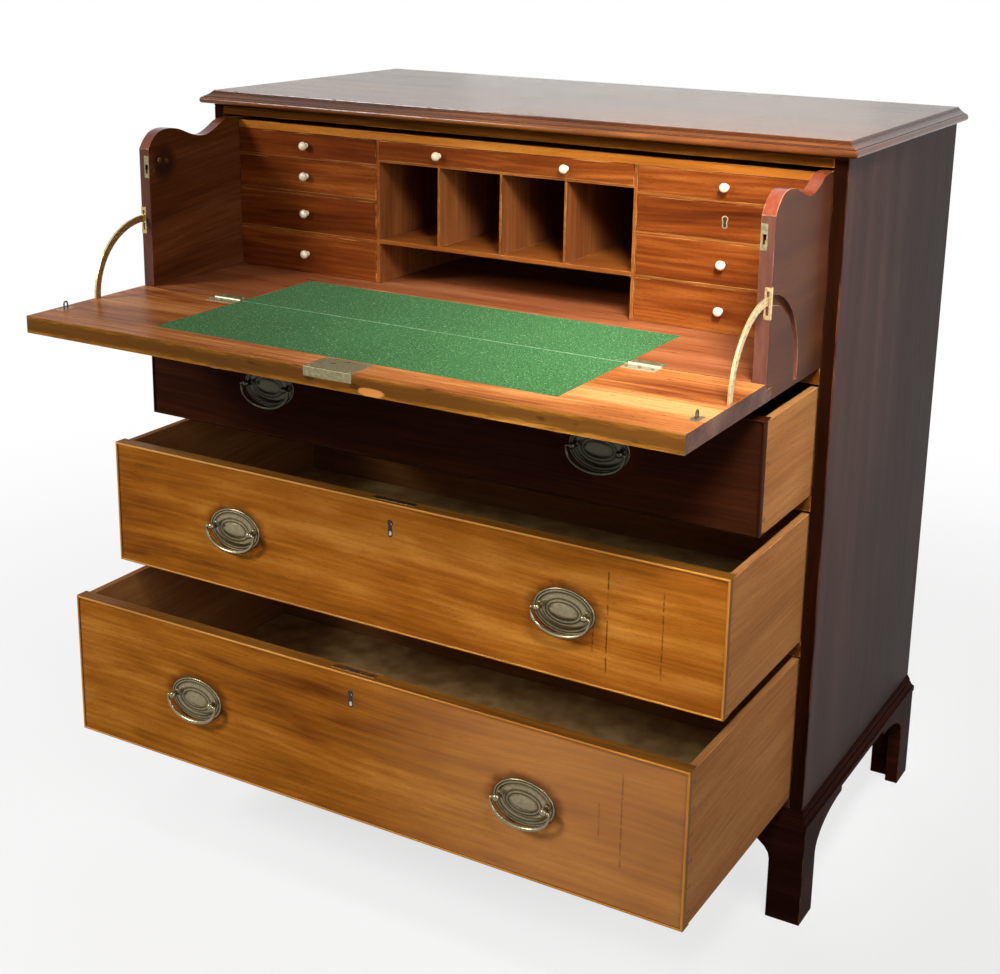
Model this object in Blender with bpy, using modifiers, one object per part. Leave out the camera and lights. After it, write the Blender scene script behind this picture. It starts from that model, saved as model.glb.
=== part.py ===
"""A secretaire chest of drawers, shown open: four drawers, the top one a writing drawer.

Metres, +Z up, the front towards -Y. The floor is at Z zero. Every place below is written from
the carcase's front plane, and the whole stands so that its box is centred over the origin.
"""

import math

import bmesh
import bpy
from mathutils import Matrix, Vector

# Carcase
carcase_width = 1.000
carcase_depth = 0.496
side_thickness = 0.018
back_thickness = 0.012
rail_height = 0.022
rail_depth = 0.055
dust_board_thickness = 0.010
bottom_rail_height = 0.013
top_rail_height = 0.0115
top_rail_depth = 0.045
top_thickness = 0.023
top_reach_front = 0.0165
top_reach_side = 0.0155
base_height = 0.0237
base_reach = 0.012
edge_easing = 0.0008

# Drawer openings, from the floor up
lower_opening = 0.213
middle_opening = 0.185
upper_opening = 0.1505
secretaire_opening = 0.2565

# Bracket feet
foot_height = 0.1463
foot_width = 0.050
foot_length = 0.155
foot_shoulder = 0.090
foot_arch_rise = 0.045
foot_thickness = 0.020
foot_reach = 0.0105
foot_arch_steps = 8

# Clearances
seat_gap = 0.0003
front_clearance = 0.001
side_clearance = 0.0025
overrun = 0.004
weld = 0.00001
smooth_angle = math.radians(35)

# Long drawers
lower_travel = 0.358
middle_travel = 0.265
upper_travel = 0.181
front_thickness = 0.020
bead_reach = 0.002
bead_width = 0.0032
drawer_length = 0.470
drawer_side = 0.010
drawer_back = 0.009
drawer_bottom = 0.006
runner_height = 0.008
drawer_side_drop = 0.003
handle_inset = 0.219

# Handles: an oval plate, two posts and a bail
plate_width = 0.087
plate_height = 0.061
plate_dome = 0.005
plate_steps = 20
post_radius = 0.0045
post_sides = 8
post_reach = 0.0165
post_spread = 0.067
pivot_reach = 0.0125
pivot_rise = 0.002
pin_radius = 0.0012
pin_start = 0.0315
bail_radius = 0.0026
bail_half_width = 0.0425
bail_drop = 0.031
bail_steps = 12

# Secretaire drawer: bed, wings and fall
secretaire_travel = 0.2145
bed_thickness = 0.024
bed_length = 0.4555
wing_thickness = 0.0175
wing_rear_height = 0.2285
wing_front_height = 0.1995
fall_thickness = 0.0235
fall_reach = 0.2305
lip_reach = 0.021
lip_drop = 0.0077
fall_field_depth = 0.0015
lip_clearance = 0.0003
joint_gap = 0.0004
wing_setback = 0.0006

# Quadrant stays and their grooves
stay_radius = 0.100
stay_width = 0.010
stay_thickness = 0.003
stay_inset = 0.0025
stay_foot = 0.004
stay_past = math.radians(6)
groove_width = 0.012
groove_depth = 0.0068
groove_past = math.radians(9.5)
arc_step = math.radians(6)

# Catch mortises for the strikers, and the release buttons
striker_radius = 0.171
mortise_height = 0.013
mortise_width = 0.0056
mortise_depth = 0.012
mortise_inset = 0.0030
button_radius = 0.004
button_sides = 16
button_length = 0.008
button_reach = 0.0025
button_travel = 0.002
button_setback = 0.021
button_height = 0.182

# Fall hinges, lock plate and baize
hinge_inset = 0.156
hinge_width = 0.045
leaf_length = 0.023
leaf_thickness = 0.0015
knuckle_radius = 0.002
knuckle_step = math.radians(40)
knuckle_sides = 12
lock_width = 0.071
lock_length = 0.050
lock_flange = 0.012
lock_thickness = 0.0012
lock_offset = 0.015
baize_room = 0.0025
baize_front_length = 0.179
baize_rear_length = 0.161
baize_thickness = 0.0009

# Nest of small drawers, heights above the bed
nest_setback = 0.203
nest_back = 0.008
nest_top_thickness = 0.006
nest_rail_height = 0.0115
nest_rail_depth = 0.020
nest_height = 0.2240
row_heights = (0.0625, 0.1225, 0.1745)
upright_thickness = 0.005
well_half_width = 0.205
shelf_thickness = 0.003
pigeonhole_floor = 0.0605
pigeonhole_floor_thickness = 0.006
pigeonhole_top = 0.1835
divider_thickness = 0.0035
small_clearance = 0.0008
small_rear_room = 0.006
small_front = 0.010
small_side = 0.006
small_bottom = 0.005
knob_radius = 0.0065
knob_sides = 12
knob_reach = 0.0135
knob_root = 0.002

# Heights, from the floor up
base_top = foot_height + base_height
lower_floor = base_top + bottom_rail_height
middle_floor = lower_floor + lower_opening + rail_height
upper_floor = middle_floor + middle_opening + rail_height
secretaire_floor = upper_floor + upper_opening + rail_height
top_rail_low = secretaire_floor + secretaire_opening
slab_low = top_rail_low + top_rail_height
bed_top = secretaire_floor + bed_thickness

# Widths and depths that follow
opening_half = carcase_width / 2 - side_thickness
front_half = opening_half - front_clearance
wing_outer = front_half
wing_inner = wing_outer - wing_thickness
inner_depth = carcase_depth - back_thickness
hinge_y = fall_thickness - secretaire_travel
fall_front = hinge_y - fall_reach
bed_front = hinge_y + wing_setback
bed_rear = hinge_y + bed_length
tongue_root = hinge_y + lip_reach + lip_clearance
tongue_low = bed_top - lip_drop + lip_clearance
nest_front = hinge_y + nest_setback
nest_rear = bed_rear - nest_back
small_length = nest_rear - nest_front - small_rear_room
front_plane = -(fall_front + carcase_depth) / 2
handle_half = front_half - handle_inset
hinge_half = front_half - hinge_inset
baize_half = hinge_half - hinge_width / 2 - baize_room
baize_recess = baize_thickness + seat_gap

# Moulding profiles, as (height share, reach share) from the bottom up
top_shares = (
    (0.00, 0.80), (0.16, 0.90), (0.34, 1.00), (0.50, 0.98), (0.62, 0.84), (0.70, 0.62),
    (0.70, 0.54), (0.76, 0.36), (0.86, 0.16), (0.93, 0.09), (0.93, 0.00), (1.00, 0.00),
)
base_shares = (
    (0.00, 1.00), (0.34, 1.00), (0.34, 0.84), (0.44, 0.60), (0.56, 0.46), (0.62, 0.44),
    (0.62, 0.34), (0.74, 0.32), (0.84, 0.24), (0.88, 0.10), (1.00, 0.10),
)

# Turned profiles, as (radius share, height share) from the top down
plate_shares = (
    (0.00, 1.00), (0.34, 0.96), (0.60, 0.50), (0.70, 0.46), (0.76, 0.24), (0.92, 0.22),
    (0.96, 0.46), (1.00, 0.30), (1.00, 0.00), (0.00, 0.00),
)
post_shares = (
    (0.00, 1.00), (0.62, 0.96), (1.00, 0.80), (1.00, 0.66), (0.62, 0.48), (0.74, 0.00), (0.00, 0.00),
)
knob_shares = (
    (0.00, 1.00), (0.58, 0.96), (0.96, 0.78), (1.00, 0.62), (0.80, 0.46), (0.42, 0.34),
    (0.42, 0.16), (0.62, 0.04),
)

# The wings' top line between the front edge and the rear step, as (length share, height share)
wing_shares = (
    (0.00, 0.00), (0.05, 0.42), (0.13, 0.78), (0.24, 0.90), (0.38, 0.80), (0.52, 0.50), (0.64, 0.32),
    (0.74, 0.34), (0.84, 0.56), (0.92, 0.82), (0.97, 0.93),
)
wing_curve_share = 0.38
wing_curve_steps = 3


def start_clean():
    for obj in list(bpy.data.objects):
        bpy.data.objects.remove(obj)
    for group in ("secretaire_chest", "cutters"):
        bpy.context.scene.collection.children.link(bpy.data.collections.new(group))


def finish_material(name, colour, roughness, metallic=0.0):
    made = bpy.data.materials.new(name)
    made.use_nodes = True
    shader = made.node_tree.nodes["Principled BSDF"]
    shader.inputs["Base Color"].default_value = (*colour, 1.0)
    shader.inputs["Roughness"].default_value = roughness
    shader.inputs["Metallic"].default_value = metallic
    made.diffuse_color = (*colour, 1.0)
    return made


start_clean()
parts = bpy.data.collections["secretaire_chest"]
cutters = bpy.data.collections["cutters"]
pivots = {}

dark_mahogany = finish_material("dark_mahogany", (0.10, 0.035, 0.020), 0.35)
red_mahogany = finish_material("red_mahogany", (0.26, 0.075, 0.025), 0.35)
honey_mahogany = finish_material("honey_mahogany", (0.38, 0.14, 0.035), 0.32)
drawer_oak = finish_material("drawer_oak", (0.42, 0.22, 0.09), 0.6)
green_baize = finish_material("green_baize", (0.05, 0.11, 0.05), 0.95)
old_brass = finish_material("old_brass", (0.50, 0.40, 0.20), 0.35, 1.0)
ivory_knob = finish_material("ivory_knob", (0.75, 0.66, 0.48), 0.35)


def vector(x, y, z):
    return Vector((x, y, z))


def mesh_of(bm, name):
    mesh = bpy.data.meshes.new(name)
    bm.to_mesh(mesh)
    bm.free()
    return mesh


def carrier(name, pivot, parent=None):
    """An empty on a joint's axis that carries the pieces of one moving body."""
    empty = bpy.data.objects.new(name, None)
    empty.empty_display_size = knuckle_radius
    parts.objects.link(empty)
    pivots[name] = pivot
    attach(empty, pivot, parent)
    return empty


def attach(obj, pivot, parent):
    if parent is None:
        obj.location = pivot + vector(0, front_plane, 0)
    else:
        obj.parent = parent
        obj.location = pivot - pivots[parent.name]


def piece(name, mesh, material, parent=None, pivot=None, smooth=False):
    """A named sub-part from a mesh in the carcase's frame."""
    if pivot is None:
        pivot = pivots[parent.name] if parent else vector(0, 0, 0)
    mesh.name = name
    mesh.transform(Matrix.Translation(-pivot))
    mesh.materials.clear()
    mesh.materials.append(material)
    if smooth:
        mesh.shade_smooth()
        mesh.set_sharp_from_angle(angle=smooth_angle)
    obj = bpy.data.objects.new(name, mesh)
    parts.objects.link(obj)
    pivots[name] = pivot
    attach(obj, pivot, parent)
    return obj


def combine(obj, mesh, operation):
    """Adds a Boolean of a hidden helper, whose mesh is in the carcase's frame."""
    helper = bpy.data.objects.new(obj.name + "_helper", mesh)
    cutters.objects.link(helper)
    helper.hide_render = True
    helper.display_type = "WIRE"
    helper.parent = obj
    helper.location = -pivots[obj.name]
    modifier = obj.modifiers.new(operation.lower(), "BOOLEAN")
    modifier.operation = operation
    modifier.object = helper


def cut(obj, mesh):
    combine(obj, mesh, "DIFFERENCE")


def join(obj, mesh):
    combine(obj, mesh, "UNION")


def block(low, high, easing=0.0):
    """A box between two corners, with its edges eased."""
    bm = bmesh.new()
    bmesh.ops.create_cube(bm, size=1)
    size = high - low
    bmesh.ops.scale(bm, vec=size, verts=bm.verts)
    bmesh.ops.translate(bm, vec=(low + high) / 2, verts=bm.verts)
    if easing:
        bmesh.ops.bevel(bm, geom=bm.edges[:], offset=easing, segments=1, profile=0.5, affect="EDGES")
    return mesh_of(bm, "block")


def evaluated_mesh(obj):
    """The object's evaluated mesh, welded, with the object itself removed."""
    bpy.context.view_layer.update()
    graph = bpy.context.evaluated_depsgraph_get()
    mesh = bpy.data.meshes.new_from_object(obj.evaluated_get(graph))
    bm = bmesh.new()
    bm.from_mesh(mesh)
    bmesh.ops.remove_doubles(bm, verts=bm.verts, dist=weld)
    bpy.data.objects.remove(obj)
    return mesh_of(bm, "evaluated")


# An outline's two directions and its extrusion, as columns, for each direction it runs along
turns = {
    "x": Matrix(((0, 0, 1, 0), (1, 0, 0, 0), (0, 1, 0, 0), (0, 0, 0, 1))),
    "y": Matrix(((1, 0, 0, 0), (0, 0, -1, 0), (0, 1, 0, 0), (0, 0, 0, 1))),
}


def prism(outline, along, start, end, holes=()):
    """An outline run straight along X, as (y, z) points, or along Y, as (x, z) points."""
    curve = bpy.data.curves.new("outline", "CURVE")
    curve.dimensions = "2D"
    curve.fill_mode = "BOTH"
    curve.extrude = abs(end - start) / 2
    for loop in (outline, *holes):
        spline = curve.splines.new("POLY")
        spline.points.add(len(loop) - 1)
        for point, (u, v) in zip(spline.points, loop):
            point.co = (u, v, 0, 1)
        spline.use_cyclic_u = True
    obj = bpy.data.objects.new("outline", curve)
    parts.objects.link(obj)
    mesh = evaluated_mesh(obj)
    middle = (start + end) / 2
    shift = vector(middle, 0, 0) if along == "x" else vector(0, middle, 0)
    mesh.transform(Matrix.Translation(shift) @ turns[along])
    return mesh


def stacked(levels):
    """A solid of rectangles over each other, each (z, half width, front, back)."""
    bm = bmesh.new()
    bmesh.ops.create_cube(bm, size=1)

    def lay(verts, level):
        z, half, front, back = level
        middle = sum(v.co.y for v in verts) / len(verts)
        for v in verts:
            v.co = (math.copysign(half, v.co.x), back if v.co.y > middle else front, z)

    top = max(bm.faces, key=lambda face: face.calc_center_median().z)
    lay([v for v in bm.verts if v.co.z < 0], levels[0])
    lay(list(top.verts), levels[1])
    for level in levels[2:]:
        made = bmesh.ops.extrude_face_region(bm, geom=[top])["geom"]
        bmesh.ops.delete(bm, geom=[top], context="FACES_ONLY")
        top = next(item for item in made if isinstance(item, bmesh.types.BMFace))
        lay(list(top.verts), level)
    bmesh.ops.recalc_face_normals(bm, faces=bm.faces)
    return mesh_of(bm, "stacked")


def turned(profile, steps):
    """A turned shape on Z from (radius, height) points, top to bottom down its outer side."""
    mesh = bpy.data.meshes.new("profile")
    points = [(radius, 0, height) for radius, height in profile]
    mesh.from_pydata(points, [(i, i + 1) for i in range(len(points) - 1)], [])
    obj = bpy.data.objects.new("profile", mesh)
    parts.objects.link(obj)
    screw = obj.modifiers.new("turn", "SCREW")
    screw.steps = steps
    screw.render_steps = steps
    screw.use_merge_vertices = True
    screw.merge_threshold = weld
    return evaluated_mesh(obj)


def rod(centre, radius, length, sides):
    """A cylinder along X."""
    bm = bmesh.new()
    bmesh.ops.create_cone(
        bm, cap_ends=True, segments=sides, radius1=radius, radius2=radius, depth=length
    )
    mesh = mesh_of(bm, "rod")
    mesh.transform(Matrix.Translation(centre) @ Matrix.Rotation(math.pi / 2, 4, "Y"))
    return mesh


def wire(points, radii):
    """A round wire through points, with its radius at each."""
    curve = bpy.data.curves.new("wire", "CURVE")
    curve.dimensions = "3D"
    curve.bevel_depth = max(radii)
    curve.bevel_resolution = 2
    curve.use_fill_caps = True
    spline = curve.splines.new("POLY")
    spline.points.add(len(points) - 1)
    for point, place, radius in zip(spline.points, points, radii):
        point.co = (*place, 1)
        point.radius = radius / max(radii)
    obj = bpy.data.objects.new("wire", curve)
    parts.objects.link(obj)
    return evaluated_mesh(obj)


def smooth_line(points, per_span):
    """Points along a smooth line through the given points."""
    made = []
    last = len(points) - 1
    for i in range(last):
        a, b = points[max(i - 1, 0)], points[i]
        c, d = points[i + 1], points[min(i + 2, last)]
        for step in range(per_span):
            t = step / per_span
            made.append(tuple(
                (2 * b[k] + (c[k] - a[k]) * t + (2 * a[k] - 5 * b[k] + 4 * c[k] - d[k]) * t ** 2
                 + (3 * b[k] - a[k] - 3 * c[k] + d[k]) * t ** 3) / 2
                for k in (0, 1)
            ))
    made.append(points[last])
    return made


def arc(centre, radius, start, end, step=arc_step):
    """Points (y, z) on an arc, angles from +Y towards +Z."""
    steps = max(2, round(abs(end - start) / step))
    return [
        (
            centre[0] + radius * math.cos(start + (end - start) * i / steps),
            centre[1] + radius * math.sin(start + (end - start) * i / steps),
        )
        for i in range(steps + 1)
    ]


# Top board, moulded round its front and sides, with the rail under it
def make_top():
    rail_half = opening_half - seat_gap
    levels = [
        (top_rail_low, rail_half, 0, top_rail_depth),
        (slab_low, rail_half, 0, top_rail_depth),
    ]
    for height, reach in top_shares:
        levels.append((
            slab_low + height * top_thickness,
            carcase_width / 2 + reach * top_reach_side,
            -reach * top_reach_front,
            carcase_depth,
        ))
    piece("top_board", stacked(levels), dark_mahogany)


def make_base():
    levels = [
        (
            foot_height + height * base_height,
            carcase_width / 2 + reach * base_reach,
            -reach * base_reach,
            carcase_depth,
        )
        for height, reach in base_shares
    ]
    for z in (base_top, lower_floor):
        levels.append((z, opening_half - seat_gap, 0, inner_depth - seat_gap))
    piece("base_board", stacked(levels), dark_mahogany)


def make_sides_and_back():
    low_z, high_z = base_top + seat_gap, slab_low - seat_gap
    for name, low_x in (("left_side", -carcase_width / 2), ("right_side", opening_half)):
        low = vector(low_x, 0, low_z)
        high = vector(low_x + side_thickness, carcase_depth, high_z)
        piece(name, block(low, high, edge_easing), dark_mahogany)
    half = opening_half - seat_gap
    low = vector(-half, inner_depth, low_z)
    piece("back_panel", block(low, vector(half, carcase_depth, high_z)), drawer_oak)


def make_rail(name, top_z):
    """A drawer rail with the dust board behind it, level with its top."""
    low_z = top_z - rail_height
    board_z = top_z - dust_board_thickness
    rear = inner_depth - seat_gap
    outline = [
        (0, low_z), (rail_depth, low_z), (rail_depth, board_z), (rear, board_z), (rear, top_z),
        (0, top_z),
    ]
    half = opening_half - seat_gap
    piece(name, prism(outline, "x", -half, half), honey_mahogany)


def bracket_outline(corner, inward):
    """A bracket foot's outline from its outer corner, which runs the way inward says."""
    high_z = foot_height - seat_gap
    along = [(0, 0), (foot_width, 0)]
    for i in range(foot_arch_steps + 1):
        angle = math.pi / 2 * i / foot_arch_steps
        along.append((
            foot_length - (foot_length - foot_width) * math.cos(angle),
            foot_shoulder + foot_arch_rise * math.sin(angle),
        ))
    along += [(foot_length, high_z), (0, high_z)]
    return [(corner + inward * u, z) for u, z in along]


def make_feet():
    outer_x = carcase_width / 2 + foot_reach
    for side, sign in (("left", -1), ("right", 1)):
        across = sorted((sign * outer_x, sign * (outer_x - foot_thickness)))
        front = prism(
            bracket_outline(sign * outer_x, -sign), "y", -foot_reach, foot_thickness - foot_reach
        )
        foot = piece("foot_front_" + side, front, dark_mahogany)
        join(foot, prism(bracket_outline(-foot_reach, 1), "x", *across))
        rear = prism(bracket_outline(carcase_depth, -1), "x", *across)
        foot = piece("foot_rear_" + side, rear, dark_mahogany)
        inner = sorted((sign * (outer_x - foot_thickness / 2), sign * (outer_x - foot_width)))
        low = vector(inner[0], carcase_depth - foot_thickness - back_thickness, 0)
        high = vector(inner[1], carcase_depth - back_thickness, foot_height - seat_gap)
        join(foot, block(low, high))


def handle_meshes():
    """An oval plate with two posts, lying on XY and standing along Z."""
    half_width, half_height = plate_width / 2, plate_height / 2
    profile = [(share, height * plate_dome) for share, height in plate_shares]
    plate = turned(profile, plate_steps)
    plate.transform(Matrix.Diagonal((half_width, half_height, 1, 1)))
    posts, bores = [], []
    for sign in (-1, 1):
        place = vector(sign * post_spread / 2, pivot_rise, 0)
        post = turned([(r * post_radius, h * post_reach) for r, h in post_shares], post_sides)
        post.transform(Matrix.Translation(place))
        posts.append(post)
        bore_length = post_radius * 2 + overrun
        bore = rod(
            place + vector(0, 0, pivot_reach), pin_radius + seat_gap, bore_length, post_sides
        )
        bores.append(bore)
    return plate, posts, bores


def make_handle(name, centre, out, up, body):
    """A back plate whose underside lies at centre, and the bail that hangs from its posts."""
    across = up.cross(out)
    frame = Matrix((
        (across.x, up.x, out.x, centre.x), (across.y, up.y, out.y, centre.y),
        (across.z, up.z, out.z, centre.z), (0, 0, 0, 1),
    ))
    plate_mesh, posts, bores = handle_meshes()
    for mesh in (plate_mesh, *posts, *bores):
        mesh.transform(frame)
    plate = piece(name + "_plate", plate_mesh, old_brass, body, smooth=True)
    for post in posts:
        join(plate, post)
    for bore in bores:
        cut(plate, bore)
    pivot = frame @ vector(0, pivot_rise, pivot_reach)
    piece(name + "_bail", bail_mesh(pivot), old_brass, body, pivot, smooth=True)


def bail_mesh(pivot):
    """A half-oval wire that hangs from its two pins, thickest at the bottom."""
    pins = [pivot + vector(sign * pin_start, 0, 0) for sign in (1, -1)]
    knees = [pivot + vector(sign * (bail_half_width - pin_radius), 0, 0) for sign in (1, -1)]
    places, radii = [], []
    for i in range(1, bail_steps):
        angle = math.pi * i / bail_steps
        across, drop = bail_half_width * math.cos(angle), bail_drop * math.sin(angle)
        places.append(pivot + vector(across, 0, -drop))
        radii.append(bail_radius + (pin_radius - bail_radius) * math.cos(angle) ** 2)
    places = [pins[0], knees[0], *places, knees[1], pins[1]]
    radii = [pin_radius, pin_radius, *radii, pin_radius, pin_radius]
    return wire(places, radii)


def make_long_drawer(name, floor_z, opening, travel):
    low_z, high_z = floor_z + front_clearance, floor_z + opening - front_clearance
    face = -travel
    middle = vector(0, face, (low_z + high_z) / 2)
    body = carrier(name + "_body", middle)

    low = vector(-front_half, face - bead_reach, low_z)
    high = vector(front_half, face + front_thickness, high_z)
    front = piece(name + "_front", block(low, high, edge_easing), honey_mahogany, body)
    inset = vector(bead_width, 0, bead_width)
    field_low = low + inset - vector(0, overrun, 0)
    field_high = vector(front_half, face, high_z) - inset
    cut(front, block(field_low, field_high))

    half = opening_half - side_clearance
    front_y = face + front_thickness + seat_gap
    rear_y = face + drawer_length
    top_z = high_z - drawer_side_drop
    low = vector(-half, front_y, floor_z + seat_gap)
    high = vector(half, rear_y, top_z)
    box = piece(name + "_box", block(low, high), drawer_oak, body)
    bottom_z = floor_z + runner_height
    cavity_low = vector(-half + drawer_side, front_y - overrun, bottom_z + drawer_bottom)
    cavity_high = vector(half - drawer_side, rear_y - drawer_back, top_z + overrun)
    cut(box, block(cavity_low, cavity_high))
    under_low = vector(-half + drawer_side * 2, front_y - overrun, floor_z - overrun)
    under_high = vector(half - drawer_side * 2, rear_y + overrun, bottom_z)
    cut(box, block(under_low, under_high))

    for side, sign in (("left", -1), ("right", 1)):
        centre = vector(sign * handle_half, face - seat_gap, middle.z)
        make_handle(name + "_" + side, centre, vector(0, -1, 0), vector(0, 0, 1), body)


# The bed's front edge is a tongue that lies over the fall's lip
def make_bed(body):
    low_z = secretaire_floor + seat_gap
    outline = [
        (bed_front, tongue_low), (tongue_root, tongue_low), (tongue_root, low_z),
        (bed_rear, low_z), (bed_rear, bed_top), (bed_front, bed_top),
    ]
    half = wing_inner - seat_gap
    bed = piece("writing_bed", prism(outline, "x", -half, half), honey_mahogany, body)
    recess_low = vector(-baize_half - seat_gap, hinge_y - overrun, bed_top - baize_recess)
    recess_high = vector(baize_half + seat_gap, hinge_y + baize_rear_length, bed_top + overrun)
    cut(bed, block(recess_low, recess_high))
    for sign in (-1, 1):
        cut(bed, knuckle_cutter(sign))
    low = vector(-baize_half, bed_front, bed_top - baize_thickness)
    high = vector(baize_half, hinge_y + baize_rear_length - seat_gap, bed_top)
    piece("baize_rear", block(low, high), green_baize, body)


def knuckle_cutter(sign):
    centre = vector(sign * hinge_half, hinge_y, bed_top)
    return rod(centre, knuckle_radius + seat_gap, hinge_width + 2 * seat_gap, knuckle_sides)


def wing_outline():
    rear_z = secretaire_floor + wing_rear_height + bed_thickness
    front_z = bed_top + wing_front_height
    curve_length = wing_curve_share * bed_length
    shaped = [
        (bed_front + along * curve_length, front_z + rise * (rear_z - front_z))
        for along, rise in wing_shares
    ]
    low_z = secretaire_floor + seat_gap
    outline = [
        (bed_front, tongue_low), (tongue_root, tongue_low), (tongue_root, low_z),
        (bed_rear, low_z), (bed_rear, rear_z), (bed_front + curve_length, rear_z),
    ]
    return outline + smooth_line(shaped, wing_curve_steps)[::-1]


def stay_band(inner, outer, start, end, tail):
    """A quadrant's outline about the fall's hinge line, with a straight tail below its start."""
    centre = (hinge_y, bed_top)
    outline = arc(centre, outer, start, end) + arc(centre, inner, end, start)
    if tail:
        outline += [(hinge_y - inner, bed_top - tail), (hinge_y - outer, bed_top - tail)]
    return outline


def make_wings(body):
    outline = wing_outline()
    groove = groove_width / 2
    for side, sign in (("left", -1), ("right", 1)):
        span = sorted((sign * wing_inner, sign * wing_outer))
        wing = piece("wing_" + side, prism(outline, "x", *span), red_mahogany, body)
        band = stay_band(
            stay_radius - groove, stay_radius + groove, math.pi / 2 + arc_step, -groove_past, 0
        )
        outward = sorted((sign * (wing_outer - groove_depth), sign * (wing_outer + overrun)))
        cut(wing, prism(band, "x", *outward))
        near = wing_inner + mortise_inset
        slot = sorted((sign * near, sign * (near + mortise_width)))
        slot_z = bed_top + striker_radius
        cut(wing, block(
            vector(slot[0], hinge_y - overrun, slot_z - mortise_height / 2),
            vector(slot[1], bed_front + mortise_depth, slot_z + mortise_height / 2),
        ))
        place = vector(
            sign * (wing_inner + button_length / 2 - button_reach),
            hinge_y + button_setback, bed_top + button_height,
        )
        bored = vector(sign * (button_travel + seat_gap) / 2, 0, 0)
        deep = button_length + button_travel + seat_gap
        cut(wing, rod(place + bored, button_radius + seat_gap, deep, button_sides))
        button = rod(place, button_radius, button_length, button_sides)
        piece("catch_button_" + side, button, old_brass, body, place, smooth=True)


def make_fall(body):
    low_z = bed_top - fall_thickness
    outline = [
        (fall_front, low_z), (hinge_y + lip_reach, low_z), (hinge_y + lip_reach, bed_top - lip_drop),
        (hinge_y - joint_gap, bed_top - lip_drop), (hinge_y - joint_gap, bed_top),
        (fall_front, bed_top),
    ]
    fall = piece("fall_board", prism(outline, "x", -front_half, front_half), honey_mahogany, body)
    field_z = low_z + fall_field_depth
    inset = front_half - bead_width
    cut(fall, block(
        vector(-inset, fall_front + bead_width, low_z - overrun),
        vector(inset, hinge_y + lip_reach - bead_width, field_z),
    ))
    low = vector(-baize_half - seat_gap, hinge_y - baize_front_length, bed_top - baize_recess)
    cut(fall, block(low, vector(baize_half + seat_gap, hinge_y + overrun, bed_top + overrun)))
    low = vector(-baize_half, hinge_y - baize_front_length + seat_gap, bed_top - baize_thickness)
    high = vector(baize_half, hinge_y - joint_gap, bed_top)
    piece("baize_front", block(low, high), green_baize, body)

    for side, sign in (("left", -1), ("right", 1)):
        make_hinge(fall, side, sign, body)
        make_stay(fall, side, sign, body)
        centre = vector(
            sign * handle_half, hinge_y - (fall_reach - lip_reach) / 2, field_z - seat_gap
        )
        make_handle("fall_" + side, centre, vector(0, 0, -1), vector(0, -1, 0), body)
    make_lock(fall, body)


def make_hinge(fall, side, sign, body):
    """A butt hinge's fall leaf with its knuckle, let in flush."""
    middle = sign * hinge_half
    span = (middle - hinge_width / 2, middle + hinge_width / 2)
    low = vector(span[0] - seat_gap, hinge_y - leaf_length - seat_gap,
                 bed_top - leaf_thickness - seat_gap)
    cut(fall, block(low, vector(span[1] + seat_gap, hinge_y + overrun, bed_top + overrun)))
    cut(fall, knuckle_cutter(sign))
    meets = math.pi + math.asin(leaf_thickness / knuckle_radius)
    outline = arc((hinge_y, bed_top), knuckle_radius, meets, 3 * math.pi, knuckle_step)
    outline += [
        (hinge_y - leaf_length, bed_top), (hinge_y - leaf_length, bed_top - leaf_thickness),
    ]
    piece("fall_hinge_" + side, prism(outline, "x", *span), old_brass, body)


def make_stay(fall, side, sign, body):
    """A brass quadrant, let into the fall and running in its wing's groove."""
    outer_x = wing_outer - stay_inset
    span = sorted((sign * outer_x, sign * (outer_x - stay_thickness)))
    inner, outer = stay_radius - stay_width / 2, stay_radius + stay_width / 2
    band = stay_band(inner, outer, math.pi, math.pi / 2 - stay_past, stay_foot)
    piece("quadrant_" + side, prism(band, "x", *span), old_brass, body)
    low = vector(span[0] - seat_gap, hinge_y - outer - seat_gap, bed_top - stay_foot - seat_gap)
    high = vector(span[1] + seat_gap, hinge_y - inner + seat_gap, bed_top + overrun)
    cut(fall, block(low, high))


def lock_outline(grow, past):
    """The lock plate's section at the fall's front edge, or its recess when grown."""
    thick = lock_thickness + grow
    front, top_z = fall_front - past, bed_top + past
    rear, foot_z = fall_front + lock_length + grow, bed_top - lock_flange - grow
    return [
        (front, foot_z), (fall_front + thick, foot_z), (fall_front + thick, bed_top - thick),
        (rear, bed_top - thick), (rear, top_z), (front, top_z),
    ]


def make_lock(fall, body):
    span = (lock_offset - lock_width / 2, lock_offset + lock_width / 2)
    cut(fall, prism(
        lock_outline(seat_gap, overrun), "x", span[0] - seat_gap, span[1] + seat_gap
    ))
    piece("lock_plate", prism(lock_outline(0, 0), "x", *span), old_brass, body)


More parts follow.
